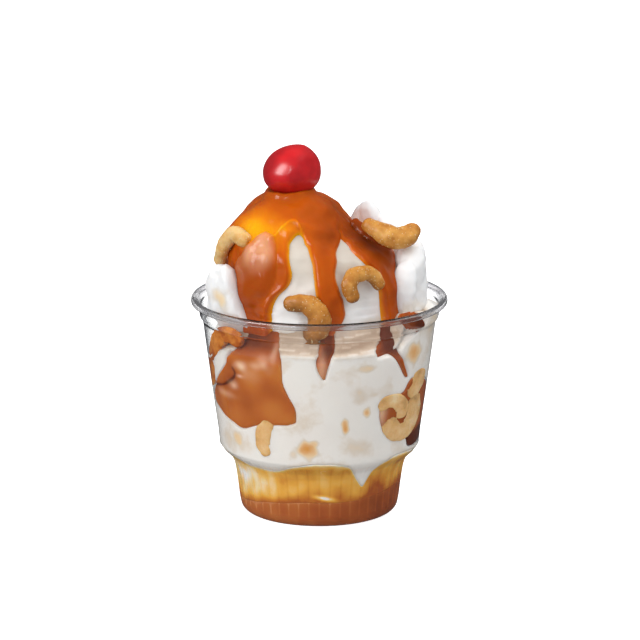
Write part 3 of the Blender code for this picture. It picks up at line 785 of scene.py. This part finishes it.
# each drip by height, its left edge and its right edge; it ends round
drips = [
    [
        (114, -100, 3), (110, -98, -4), (105, -95, -12), (100, -92, -14.5), (96, -84, -18.5),
        (92, -74, -25.5), (87, -64, -29.5), (81, -56, -30.6), (76, -54, -30.6), (73, -54, -30),
    ],
    [
        (114, 11.5, 55), (112, 13, 53), (110, 13, 45), (108, 10, 34), (105, 5.5, 24), (101.6, 2.4, 18),
        (98, 1, 16), (94, 0.8, 17), (90, 1.5, 19), (86.4, 2.2, 19), (82.5, 4.2, 17), (79.8, 4.6, 13),
        (73, 1, 9),
    ],
    [
        (113, 58, 104), (109, 51.5, 98), (106.5, 46.5, 94), (103.8, 45, 85), (100.5, 47.5, 73.5),
        (98, 48, 67.5), (94.6, 48.7, 65), (90, 49.3, 66.3), (87, 49.4, 65), (83, 49.2, 63),
        (79.5, 48.4, 61.5), (74, 46, 62.5),
    ],
    [(114, 98, 128), (105, 101, 115), (97, 104, 116), (92, 104, 114)],
    [(114, 132, 168), (103, 142, 163), (90, 140, 160), (78, 143, 158)],
    [(114, 178, 216), (102, 188, 212), (88, 185, 209), (77, 188, 207)],
    [(114, 224, 264), (104, 230, 256), (96, 231, 249), (91, 232, 248)],
]


def sauce_depth(azimuth, z, radius):
    """Distance in from the sauce's edge in mm, negative where there is none."""
    depth = (z - sauce_line) * 1.2 + 0 * azimuth
    for drip in drips:
        level = np.maximum(z, drip[-1][0])
        left = smooth_curve([(h, a) for h, a, b in drip], level)
        right = smooth_curve([(h, b) for h, a, b in drip], level)
        middle = (left + right) / 2
        half = np.radians(right - left) / 2 * np.maximum(radius, 8)
        aside = np.radians((azimuth - middle + 180) % 360 - 180) * np.maximum(radius, 8)
        inward = half - np.hypot(aside, level - z)
        depth = (depth + inward + np.sqrt((depth - inward) ** 2 + 3.0)) / 2
    return depth


# left and right edge by height of the broad lump of sauce on the left drip
lump_edges = [
    (114.2, -26.5, -25), (113.8, -27.9, -22.8), (113.3, -29.4, -19.3), (112.3, -31.2, -15.6),
    (110.2, -34.5, -14.4), (108.1, -40.9, -16.7),
    (105.8, -47, -19.7), (103.4, -54.2, -22.3), (100.1, -59.4, -24.8), (96.9, -60.3, -27.1),
    (93.1, -58.4, -30.3), (89.2, -55.4, -34.5),
    (86.5, -50, -42),
]
# a fold in the sauce above the bare custard, from left to right
fold_line = [(-18.5, 111.0), (-13.8, 114.2), (-7.8, 116.3), (-0.6, 117.6), (5.1, 117.0), (9.5, 114.6)]


def blob(across, up):
    """Soft spot: 1 in its middle, nearly gone 2 away from it."""
    return np.exp(-(across ** 2) - up ** 2)


def bump_up(inward, width):
    """Rounded rise from 0 at an edge to 1 at a width inside it."""
    t = np.clip(inward / width, 0, 1)
    return np.sqrt(1 - (1 - t) ** 2)


def build_sauce():
    azimuth = np.arange(0, 360, 0.75)
    rows = 240
    r, z, shift, out, up = scoop_profile(rows)
    level, around_it, radius = z[:, None], (azimuth[None] + 180) % 360 - 180, np.maximum(r, 8)[:, None]
    depth = sauce_depth(azimuth[None], level, radius)
    ground = scoop_lumps(azimuth, rows)
    # a rounded lump lies on the broad drip at the left
    left = smooth_curve([(h, a) for h, a, b in lump_edges], level)
    right = smooth_curve([(h, b) for h, a, b in lump_edges], level)
    inward = np.minimum(around_it - left, right - around_it) * np.radians(1) * radius
    inward = np.where((level < 114.2) & (level > 86.5), inward, -1)
    lump = 2.1 * bump_up(inward, 4.2) * np.clip((level - 86) / 9, 0, 1) ** 0.7
    # drips swell towards their lower ends, and ropes of sauce run down their sides
    swell = 1.2 * np.clip((98 - level) / 12, 0, 1) * bump_up(depth, 4.0)
    rope = 0.5 * np.exp(-(((depth - 1.3) / 0.9) ** 2)) * np.clip((112 - level) / 6, 0, 1)
    runs = 0.28 * lumps(at(azimuth[None], 30.0, level * 0.16), 3.4, 15) * np.clip((118 - level) / 6, 0, 1)
    body = (
        1.9 * bump_up(depth, 3.0) + (swell + rope + runs) * np.clip(depth / 1.5, 0, 1)
        + lump * np.clip(depth / 2, 0, 1)
    )
    crest = smooth_curve(fold_line, around_it)
    past = np.clip(np.maximum(-18 - around_it, around_it - 9) / 2, 0, 3)
    fold = blob((level - crest) / 0.8, past)
    # it climbs a little way up the foot of the cherry
    plain, _, _ = scoop_grid(azimuth, rows, ground)
    foot = np.hypot(plain[..., 0] + 11.2, plain[..., 1] + 0.5)
    body = body + 0.6 * fold + 1.5 * np.exp(-(((foot - 8.0) / 1.3) ** 2)) * (level > 118)
    height = np.where(depth < 0, depth * 1.4, body)
    outer, _, _ = scoop_grid(azimuth, rows, ground + np.maximum(height, -1.2))
    inner, _, _ = scoop_grid(azimuth, rows, ground - 1.6)
    keep = np.maximum(height[:-1], height[1:])
    keep = np.maximum(keep, np.roll(keep, -1, axis=1)) > -1.0
    # painted light: a glow through the thin sauce at the upper left and a softer one high at the front;
    # painted shade on the right side of the dome
    painted_glow = blob((around_it + 42) / 30, (level - 114) / 6)
    painted_glow += 0.35 * blob((around_it + 8) / 12, (level - 114.5) / 2.5)
    dark = blob((around_it - 66) / 38, (level - 110) / 15)
    thick = 1.45 * np.clip(depth / 1.1, -0.4, 1) + 0.35 * np.clip((depth - 2) / 4, 0, 1)
    tint = thick + 0.35 * swell + 0.12 * lump - 2.0 * painted_glow + 1.1 * dark + 0.5 * runs
    tint -= 0.5 * fold
    # it is thin, and so light, in the crease beside the lump
    tint -= 0.35 * np.exp(-((inward / 0.8) ** 2)) * np.clip(depth, 0, 1)
    # painted sheen on the lump: a pinkish highlight at its upper left and a faint one lower down
    slant = around_it + 36 - (level - 104) * 1.9
    painted_sheen = 0.9 * bump_up(inward, 3.0) * blob(slant / 13, (level - 107) / 6.5)
    painted_sheen += 0.1 * bump_up(inward, 3.0) * blob((level - 100) / 5, (around_it + 50) / 8)
    painted_sheen = np.clip(painted_sheen * np.clip(1 + 0.5 * lumps(outer, 6, 19), 0, 2) - 0.07, 0, 1)
    return shell_object("caramel_over_scoop", outer, inner, keep, tint, painted_sheen)


def fade_gloss(tree, weight):
    """Clear coat that fades where the surface turns away."""
    facing = add_node(tree, "ShaderNodeLayerWeight", {}).outputs["Facing"]
    values = {"Value": facing, "From Min": 0.45, "From Max": 0.95, "To Min": weight, "To Max": 0.05}
    set_input(tree, "Coat Weight", add_node(tree, "ShaderNodeMapRange", values).outputs["Result"])


def caramel_material(name, colors, sheen_paint, pressed=False):
    """Sauce from thin to thick by the tint of its points, with painted light and shade in it, and lighter by
    their painted sheen.
    """
    mat, tree = new_material(
        name,
        {
            "Roughness": 0.3,
            "Specular IOR Level": 0.05 if pressed else 0.15,
            "Subsurface Weight": 0.35,
            "Subsurface Radius": (1.0, 0.3, 0.05),
            "Subsurface Scale": 0.003,
            "Coat Weight": 0.0,
            "Coat Roughness": 0.07,
            "Coat IOR": 1.42,
        },
    )
    if not pressed:
        fade_gloss(tree, 0.6)
    spread = {"Value": uneven_tint(tree, 70, 3, 0.45), "From Min": -0.6, "From Max": 3.0}
    spread = add_node(tree, "ShaderNodeMapRange", spread).outputs["Result"]
    sauce = color_ramp(tree, spread, list(zip((0.0, 0.3, 0.56, 0.78, 1.0), colors)))
    painted_sheen = add_node(tree, "ShaderNodeAttribute", {}, attribute_name="painted_sheen").outputs["Fac"]
    set_input(tree, "Base Color", mixed_color(tree, painted_sheen, sauce, (*sheen_paint, 1)))
    return mat


# from thin to thick
caramel = caramel_material(
    "caramel",
    [
        (0.92, 0.5, 0.002), (0.78, 0.22, 0.002), (0.56, 0.1, 0.003), (0.4, 0.066, 0.003),
        (0.19, 0.03, 0.003),
    ],
    # colour of the painted sheen
    (0.78, 0.39, 0.21),
)
caramel_at_wall = caramel_material(
    "caramel at wall",
    [
        (0.84, 0.44, 0.1), (0.66, 0.235, 0.05), (0.54, 0.15, 0.032), (0.38, 0.085, 0.018),
        (0.12, 0.024, 0.008),
    ],
    # colour of the painted sheen
    (0.92, 0.58, 0.38), pressed=True,
)
finish_piece(build_sauce(), caramel, "caramel", "caramel_topping")


def wall_grid(outline, step=0.55):
    turns, heights = zip(*outline)
    azimuth = np.arange(min(turns) - 3, max(turns) + 3, step / FLAT)
    z = np.arange(min(heights) - 2, max(heights) + 2, step)
    return azimuth[None] + 0 * z[:, None], z[:, None] + 0 * azimuth[None]


def build_pool_on_wall(name, outline, depth, shade, crease=None, sheen_paint=(), lean=False):
    """Sauce pressed against the wall inside an outline, with a crease in it."""
    azimuth, z = wall_grid(outline)
    deep = outline_depth(outline, azimuth, z) + 0.3 * lumps(at(azimuth, WALL_RADIUS, z), 6, 11)
    round_off = 1.8 * (1 - np.sqrt(np.clip(1 - (1 - np.clip(deep / 1.8, -0.2, 1)) ** 2, 0, 1)))
    face = inside(z) - (lean_in(azimuth, z) if lean else 0)
    radius = face + 0.34 - round_off
    groove = np.zeros(z.shape)
    if crease:
        points = unrolled(crease)
        away = line_distance(points[:-1], points[1:], azimuth, z)
        groove = np.exp(-((away / 0.6) ** 2)) + 0.6 * np.exp(-((away / 2.6) ** 2))
    radius = radius - 0.15 * groove
    outer = at(azimuth, radius, z)
    back = face - 1.6 - depth * np.clip(deep / 8, 0, 1) ** 0.6
    inner = at(azimuth, np.minimum(back, radius - 0.4), z)
    keep = np.maximum(deep[:-1], deep[1:])
    keep = np.maximum(keep[:, :-1], keep[:, 1:]) > 0
    # darker where deeper and low down; painted shade darkens it higher up, more where it leans in from the
    # wall, and in the crease
    tint = (
        shade + 0.5 * np.clip(deep / 1.5, -1, 1) + 0.5 * lumps(at(azimuth, WALL_RADIUS, z), 9, 12)
        + 0.04 * np.clip(z - 66, 0, 14)
    )
    if lean:
        tint = tint + 0.2 * np.clip(z - 68.0, 0, 5.5)
    tint = tint + 1.1 * groove + 1.6 * np.clip((38 - z) / 4, 0, 1)
    # painted sheen in soft clouds
    painted_sheen = np.zeros(z.shape)
    for cloud, z0, wide, high, strength in sheen_paint:
        away = ((azimuth - cloud) / wide) ** 2 + ((z - z0) / high) ** 2
        painted_sheen = painted_sheen + strength * np.exp(-away * (1 + 0.5 * lumps(outer, 4, 23)))
    return shell_object(name, outer, inner, keep, tint, painted_sheen, wrap=False)


left_crease = [(-74, 53.0), (-66, 54.2), (-59, 55.6), (-51, 58.9), (-48.6, 61.5), (-50, 63.4)]
# painted highlights on the left pool: azimuth, height, reach across and up, strength
left_painted_sheen = [
    (-43.4, 65, 3.2, 1.6, 1), (-34, 66.2, 4, 1.6, 0.5), (-29, 67.4, 3, 2.4, 0.6), (-24, 71.6, 1.6, 4, 0.4),
    (-50.4, 56.3, 3, 1.5, 0.7), (-60, 51.8, 8, 1.3, 0.4), (-45, 60.8, 2.2, 0.7, 0.8), (-38, 62.5, 6, 3, 0.2),
]


def place_pool(name, nodes, *shape, **more):
    finish_piece(build_pool_on_wall(name, *shape, **more), caramel_at_wall, "caramel", *nodes)


place_pool("caramel_at_left", ["caramel_pocket_left"], pool_left, 5, 0.9, left_crease, left_painted_sheen, lean=True)
place_pool("caramel_at_right", [], pool_right, 2, 1.5, lean=True)
# painted sheen on the pool round the nuts and on the run
place_pool("caramel_round_nuts", ["caramel_pocket_right"], pool_low, 5, 1.5, None, [(35, 47, 4, 6, 0.7)])
place_pool("caramel_run", ["caramel_run_front"], pool_run, 1.2, 1.2, None, [(1.5, 67, 2, 5, 0.5)], lean=True)
place_pool("caramel_under_curl", [], pool_spot, 4, 2.0)
place_pool("caramel_at_back", ["caramel_pocket_back"], pool_back, 5, 1.0)


# Layers in the foot
# Dark caramel on the floor of the cup and, above it, an amber layer where it
# has melted into the custard. Both fill the cup to its fluted wall.
def floor_height(azimuth):
    return 1.0 + 0 * azimuth


def pool_height(azimuth):
    return around(pool_top, azimuth)


def melt_height(azimuth):
    return around(melt_top, azimuth)


def foot_layer(name, low, high, first, last, rows, tint):
    azimuth, across, z = layer_grid(low, high, rows, 0.5)
    side = at(across, inside(z) + 0.12, z)
    under = [
        at(azimuth, r, np.maximum(low(azimuth), floor))
        for r, floor in ((12.0, 2.15), (22.6, 2.15), (24.6, 1.1))
    ]
    over = [at(azimuth, r, high(azimuth) - 0.4) for r in (24.0, 12.0)]
    grid = np.concatenate([np.stack(under), side, np.stack(over)])
    values = tint(across, z)
    values = np.concatenate([values[:1]] * 3 + [values] + [values[-1:]] * 2)
    return grid_object(name, grid, (0, 0, first), (0, 0, last), values)


def flute_line(azimuth):
    """1 on the ridge of each of the 48 flutes, 0 between them."""
    pitch = 360 / FLUTES
    off = (azimuth + pitch / 2) % pitch - pitch / 2
    return np.exp(-((off / 0.55) ** 2))


def pool_tint(azimuth, z):
    """0 dark to 1 light: lighter at the left by painted light, on the flutes by painted reflections, and
    near its top.
    """
    # painted light and shade: lighter at the left, darker at the right
    light = around(
        [
            (-90, 0.6), (-50, 0.75), (-15, 0.65), (15, 0.45), (45, 0.22), (80, 0.22), (150, 0.4),
            (215, 0.55),
        ],
        azimuth
    )
    cloudy = 0.16 * lumps(at(azimuth, 32.0, z * 0.5), 6, 71)
    rise = 0.3 * np.exp(-(pool_height(azimuth) - z) / 1.2)
    # painted reflections of light on the flutes' ridges
    return light + cloudy + rise + 0.2 * flute_line(azimuth) * np.clip((z - 3) / 2, 0, 1)


def melt_tint(azimuth, z):
    """0 nearly caramel to 1 nearly custard."""
    t = np.clip((z - pool_height(azimuth)) / (melt_height(azimuth) - pool_height(azimuth)), 0, 1)
    level = smooth_curve(
        [
            (0, 0.06), (0.07, 0.14), (0.15, 0.3), (0.27, 0.5), (0.5, 0.6), (0.74, 0.56), (0.88, 0.53),
            (0.95, 0.74), (1, 1.0),
        ],
        t
    )
    side = around(
        [
            (-85, 0.28), (-62, 0.3), (-40, 0.16), (-18, -0.1), (10, -0.1), (30, -0.1), (48, -0.08),
            (75, -0.1), (130, 0.1), (180, 0.0), (230, 0.1),
        ],
        azimuth
    )
    middle = np.clip(np.minimum(t, 1 - t) * 6, 0, 1)
    streaks = 0.06 * lumps(at(azimuth, 32.0, z * 0.22), 3.2, 73) + 0.13 * lumps(at(azimuth, 32.0, z), 5, 74)
    turned = (azimuth + 180) % 360 - 180
    swirl = 1.2 * blob((turned - 3.5) / 7.0, (z - 12.6 + 0.11 * turned) / 0.9)
    groove = -0.09 * flute_line(azimuth) * np.clip((1 - t) * 8, 0, 1)
    rise = blob((turned - 43) / 9, (z - 16.5) / 4.2) + 0.5 * blob((turned + 78) / 12, (z - 13) / 3)
    return np.clip(
        level + (side + groove) * middle + streaks * np.clip(middle + 0.3, 0, 1) + 0.85 * swirl
        - 0.42 * rise,
        0, 1
    )


def foot_material(name, colors):
    """Matt colour by the tint of each point, for food pressed on the plastic."""
    mat, tree = new_material(
        name,
        {
            "Roughness": 0.4,
            "Specular IOR Level": 0.05,
            "Subsurface Weight": 0.4,
            "Subsurface Radius": (1.0, 0.5, 0.2),
            "Subsurface Scale": 0.0015,
        },
    )
    set_input(tree, "Base Color", color_ramp(tree, uneven_tint(tree, 320, 4, 0.12), colors))
    return mat


pool_caramel = foot_material(
    "caramel on floor",
    [
        (0.0, (0.22, 0.05, 0.016)), (0.55, (0.42, 0.105, 0.028)), (0.85, (0.5, 0.15, 0.04)),
        (1.0, (0.6, 0.22, 0.08)),
    ]
)
layer = foot_layer("dark_caramel", floor_height, pool_height, 2.15, 10.5, 26, pool_tint)
finish_piece(layer, pool_caramel, "caramel", "caramel_pool")
melted = foot_material(
    "melted caramel",
    [
        (0.0, (0.42, 0.105, 0.028)), (0.14, (0.58, 0.19, 0.032)), (0.32, (0.72, 0.31, 0.05)),
        (0.5, (0.86, 0.44, 0.075)),
        (0.68, (0.9, 0.54, 0.15)), (0.84, (0.95, 0.69, 0.36)), (1.0, (0.92, 0.87, 0.8)),
    ],
)
layer = foot_layer("amber_caramel", pool_height, melt_height, 10, 24, 56, melt_tint)
finish_piece(layer, melted, "melted_caramel", "amber_layer")


# Cashews
# Whole roasted nuts with salt on them. Six lie on the top, some are pressed
# against the wall, and the ones that sit in sauce are glazed with it.
def build_cashew(name, spine, seed, pressed=False, roast=0.0):
    """Nut along a spine of x, y, z and width, bowed across the way it faces."""
    spine = np.array(spine, float)
    head = spine[0, :3] - spine[1, :3]
    tail = spine[-1, :3] - spine[-2, :3]
    head *= spine[0, 3] * 0.42 / np.linalg.norm(head)
    tail *= spine[-1, 3] * 0.42 / np.linalg.norm(tail)
    spine = np.concatenate(
        [[[*(spine[0, :3] + head), spine[0, 3]]], spine, [[*(spine[-1, :3] + tail), spine[-1, 3]]]]
    )
    path = along_path(spine, 0.35)
    middle, wide = path[:, :3], path[:, 3]
    step = np.linalg.norm(np.diff(middle, axis=0), axis=1)
    s = np.concatenate([[0], np.cumsum(step)])
    cap = np.minimum(s, s[-1] - s) / (wide * 0.5)
    wide = wide * np.sqrt(np.clip(1 - (1 - np.minimum(cap, 1)) ** 2.2, 0.0004, 1))
    along = np.gradient(middle, axis=0)
    along /= np.linalg.norm(along, axis=1)[:, None]
    chord = middle[-1] - middle[0]
    bulge = middle[len(middle) // 2] - (middle[0] + middle[-1]) / 2
    flat = np.cross(chord, bulge)
    flat /= np.linalg.norm(flat)
    across = np.cross(flat, along)
    across /= np.linalg.norm(across, axis=1)[:, None]
    up = np.cross(along, across)
    turn = np.radians(np.arange(0, 360, 10))
    ring = across[:, None] * np.cos(turn)[None, :, None] + 0.9 * up[:, None] * np.sin(turn)[None, :, None]
    grid = middle[:, None] + (wide / 2)[:, None, None] * ring
    rough = 0.24 * lumps(grid, 3.4, seed) + 0.08 * lumps(grid, 1.3, seed + 1)
    grid += ring * (rough * np.minimum(wide / 3, 1)[:, None])[..., None]
    if pressed:
        # a nut that sits round the side is pressed wider, to show as broad
        turned = np.degrees(np.arctan2(grid[..., 0], -grid[..., 1]))
        centre = np.degrees(np.arctan2(middle[:, 0], -middle[:, 1]))[:, None]
        wider = 1 / np.clip(np.cos(np.radians(centre)), 0.5, 1)
        reach = np.hypot(grid[..., 0], grid[..., 1])
        grid = at(centre + (turned - centre) * wider, reach, grid[..., 2])
        grid[..., :2] *= np.minimum(1, (inside(grid[..., 2]) + 0.36) / reach)[..., None]
    ends = 0.26 * (np.abs(2 * s / s[-1] - 1) ** 4)[:, None] + 0.1 * lumps(grid, 5, seed + 3)
    hollow = 0.1 * np.clip(-np.cos(turn), 0, 1)[None] * np.sign(np.dot(across[len(s) // 2], bulge))
    tint = np.clip(ends + hollow + roast, -0.4, 0.5)[1:-1]
    grid = grid[1:-1]
    return grid_object(name, grid, grid[0].mean(axis=0), grid[-1].mean(axis=0), tint)


def cashew_material(name, light, dark, rough, coat):
    """Skin between a dark and a light roast, darker by the tint of its points."""
    mat, tree = new_material(
        name,
        {
            "Roughness": rough,
            "Subsurface Weight": 0.25,
            "Subsurface Radius": (1.0, 0.5, 0.2),
            "Subsurface Scale": 0.002,
            "Coat Weight": coat,
            "Coat Roughness": 0.25,
            "Specular IOR Level": 0.3 if coat else 0.05,
        },
    )
    tint = add_node(tree, "ShaderNodeAttribute", {}, attribute_name="tint").outputs["Fac"]
    roast = math_value(tree, "SUBTRACT", object_noise(tree, 190, 8, 0.65), tint)
    stops = [(0.05, [c * 0.5 for c in dark]), (0.36, dark), (0.62, light), (0.9, [c ** 0.6 for c in light])]
    set_input(tree, "Base Color", color_ramp(tree, roast, stops))
    rough_skin(tree, object_noise(tree, 620, 5), 0.5, 0.0008)
    return mat


roasted = cashew_material("roasted cashew", (0.72, 0.36, 0.08), (0.5, 0.19, 0.025), 0.45, 0.4)
pressed_nut = cashew_material("cashew at wall", (0.92, 0.63, 0.32), (0.8, 0.46, 0.18), 0.5, 0.0)
glazed = cashew_material("glazed cashew", (0.76, 0.28, 0.05), (0.46, 0.11, 0.018), 0.2, 0.0)

# spines of x, y, z and width
cashews_on_top = {
    "cashew_01": [
        (-28.4, -19.6, 111.8, 6.6), (-32.4, -15, 113, 6.6), (-35.9, -12.6, 109.6, 5.9),
        (-37.6, -9.5, 104.9, 5.3), (-38.4, -6, 100.8, 5),
    ],
    "cashew_02": [
        (-11.2, -34.7, 90.2, 6.3), (-6.6, -35.9, 90.8, 7.1), (-2, -36.6, 88.6, 8.3),
        (0.1, -36.8, 84.7, 9), (-0.5, -36.8, 80.8, 8.7), (-2.8, -36.4, 78.4, 7.5),
    ],
    "cashew_03": [
        (12.8, -32.9, 92.4, 5.5), (11.3, -33, 97.1, 6.5), (13.2, -31, 100.2, 6.3),
        (17.1, -28.6, 100.8, 5.9), (20.9, -26.6, 99.1, 5.7), (22.8, -26.2, 95.8, 5.1),
    ],
    "cashew_04": [
        (18.7, -11.5, 115.8, 5.9), (21.8, -12.6, 114.5, 6.9), (26, -13.4, 112.3, 8.6),
        (30.3, -13, 111, 9), (34.1, -11.5, 111.9, 8), (36.1, -10, 113.5, 6.7),
    ],
    "cashew_06": [
        (12, 33.5, 93.5, 5.6), (15.5, 33, 97.5, 6.4), (20.5, 30.5, 98, 6.6), (24, 28, 94.5, 6),
        (24.5, 28, 90, 5.2),
    ],
    "cashew_07": [
        (-33.5, 16, 98, 5.4), (-32.5, 20, 101.5, 6.2), (-28.5, 24.5, 101.5, 6.6), (-25.5, 28, 98, 6),
        (-25.5, 29, 93.5, 5.2),
    ],
}
roast = {"cashew_01": -0.38, "cashew_02": 0.16, "cashew_04": -0.06}
nuts = []
for seed, (node, spine) in enumerate(cashews_on_top.items()):
    nuts.append(build_cashew(node + "_nut", spine, 40 + seed, roast=roast.get(node, 0)))
    finish_piece(nuts[-1], roasted, "cashew", node)
well = build_cashew(
    "caramel_under_nut",
    [
        (13.5, -3.5, 114.5, 5.0), (17.0, -4.5, 111.0, 8.0), (20.5, -5.5, 108.0, 9.0),
        (25.0, -6.5, 105.6, 7.0),
    ],
    47
)
# its dark tint is partly the sauce's depth and partly painted shade under the nut
well.data.attributes["tint"].data.foreach_set("value", np.full(len(well.data.vertices), 2.7))
finish_piece(well, caramel, "caramel")


def salt_tree(grain):
    """Grains of salt scattered over the nuts."""
    tree, given, result = node_group(
        "salt grains",
        "Nuts",
        [
            ("Grains per square metre", "NodeSocketFloat", 280000.0),
            ("Grain size", "NodeSocketFloat", 0.0002),
            ("Seed", "NodeSocketInt", 5),
        ],
    )
    scatter = add_node(
        tree,
        "GeometryNodeDistributePointsOnFaces",
        {"Mesh": given["Nuts"], "Density": given["Grains per square metre"], "Seed": given["Seed"]},
    )
    size = add_node(tree, "ShaderNodeCombineXYZ", {axis: given["Grain size"] for axis in range(3)})
    cube = add_node(tree, "GeometryNodeMeshCube", {"Size": size.outputs[0]})
    turn = add_node(tree, "FunctionNodeRandomValue", {1: (6.28, 6.28, 6.28)}, data_type="FLOAT_VECTOR")
    scale = add_node(tree, "FunctionNodeRandomValue", {2: 0.5, 3: 1.4})
    place = add_node(
        tree,
        "GeometryNodeInstanceOnPoints",
        {
            "Points": scatter.outputs["Points"], "Instance": cube.outputs["Mesh"],
            "Rotation": turn.outputs[0], "Scale": scale.outputs[1],
        },
    )
    real = add_node(tree, "GeometryNodeRealizeInstances", {"Geometry": place.outputs["Instances"]})
    dress = add_node(
        tree, "GeometryNodeSetMaterial", {"Geometry": real.outputs["Geometry"], "Material": grain}
    )
    tree.links.new(dress.outputs["Geometry"], result["Geometry"])
    return tree


def build_salt(nuts):
    salt, _ = new_material("salt", {"Base Color": (0.9, 0.72, 0.42, 1), "Roughness": 0.25})
    bm = bmesh.new()
    for nut in nuts:
        bm.from_mesh(nut.data)
    mesh = bpy.data.meshes.new("salted nuts")
    bm.to_mesh(mesh)
    bm.free()
    ob = bpy.data.objects.new("salt_on_cashews", mesh)
    scene.collection.objects.link(ob)
    ob.data = shaped_mesh(ob, salt_tree(salt), {"Grain size": 0.0002, "Seed": 5})
    finish_piece(ob, salt, "cashew")


build_salt(nuts)

# spines of azimuth, height and width on the inside of the wall
cashews_at_wall = {
    "cashew_05": [
        (-44.8, 74.3, 5), (-50.5, 76.2, 5.6), (-58.3, 75, 5.8), (-66.8, 69.1, 5.2), (-73.3, 64.6, 4.6),
    ],
    "cashew_08": [(-76, 62, 4.6), (-76, 58.8, 5.2), (-78, 55, 5), (-84, 52.5, 4.4)],
    "cashew_09": [(-29.7, 42.7, 5.6), (-32.9, 38.7, 6.5), (-33.9, 34.5, 6.1), (-31.8, 31.4, 4.8)],
    "cashew_10": [(66, 58.6, 6.4), (64.4, 55.4, 7.8), (59, 52, 7.4)],
    "cashew_11": [
        (35.6, 49.8, 5.4), (39.8, 51.4, 6.4), (46.1, 50.4, 6.6), (50.8, 47.1, 6.2), (50.6, 44.6, 5.4),
    ],
    "cashew_12": [
        (42.6, 42, 7), (46.2, 38.6, 8), (54.3, 37.5, 8.6), (61.4, 40.2, 8.2), (63.6, 44.2, 7.4),
        (61.5, 48.6, 6.6),
    ],
    "cashew_13": [(122, 43, 5), (123.5, 48, 6.2), (128.5, 51, 6.6), (134.5, 49.5, 6), (136.5, 45.5, 5)],
}
for seed, (node, spine) in enumerate(cashews_at_wall.items()):
    spine = [
        (*at(azimuth, float(inside(z)) - 0.2 * width, z).tolist(), width) for azimuth, z, width in spine
    ]
    nut = build_cashew(node + "_nut", spine, 50 + seed, pressed=True)
    finish_piece(nut, glazed if node in ("cashew_05", "cashew_08") else pressed_nut, "cashew", node)


# Cherry
# A preserved cherry without its stem: deep red, very glossy, its upper left
# shoulder flattened, standing a little way into the sauce.
def build_cherry():
    polar = np.radians(np.linspace(0, 180, 64))[1:-1]
    azimuth = np.arange(0, 360, 4.0)
    ball = at(azimuth[None], np.sin(polar)[:, None], np.cos(polar)[:, None])
    flat = np.array([-0.66, -0.25, 0.71])
    facing = np.clip(ball @ flat - 0.3, 0, 1)
    grid = ball * (1 - 0.2 * facing)[..., None] * np.array([11.4, 11.2, 10.2])
    grid[..., 0] += 0.7 * np.clip(ball[..., 2], 0, 1)
    fuller = np.clip(ball @ np.array([0.8, 0.0, -0.6]), 0, 1) ** 2
    grid += 1.0 * fuller[..., None] * np.array([0.8, 0.0, -0.3])
    grid += ball * (0.16 * lumps(grid, 7, 31))[..., None]
    grid += np.array([-11.2, -0.5, 135.6])
    return grid_object("glossy_cherry", grid, grid[0].mean(axis=0), grid[-1].mean(axis=0))


def cherry_material():
    mat, tree = new_material(
        "cherry skin",
        {
            "Roughness": 0.25,
            "Subsurface Weight": 0.3,
            "Subsurface Radius": (1.0, 0.1, 0.08),
            "Subsurface Scale": 0.003,
            "Coat Roughness": 0.28,
        },
    )
    fade_gloss(tree, 1.0)
    stops = [(0.35, (0.46, 0.006, 0.01)), (0.65, (0.68, 0.012, 0.016))]
    set_input(tree, "Base Color", color_ramp(tree, object_noise(tree, 120, 4), stops))
    return mat


finish_piece(build_cherry(), cherry_material(), "cherry", "cherry")
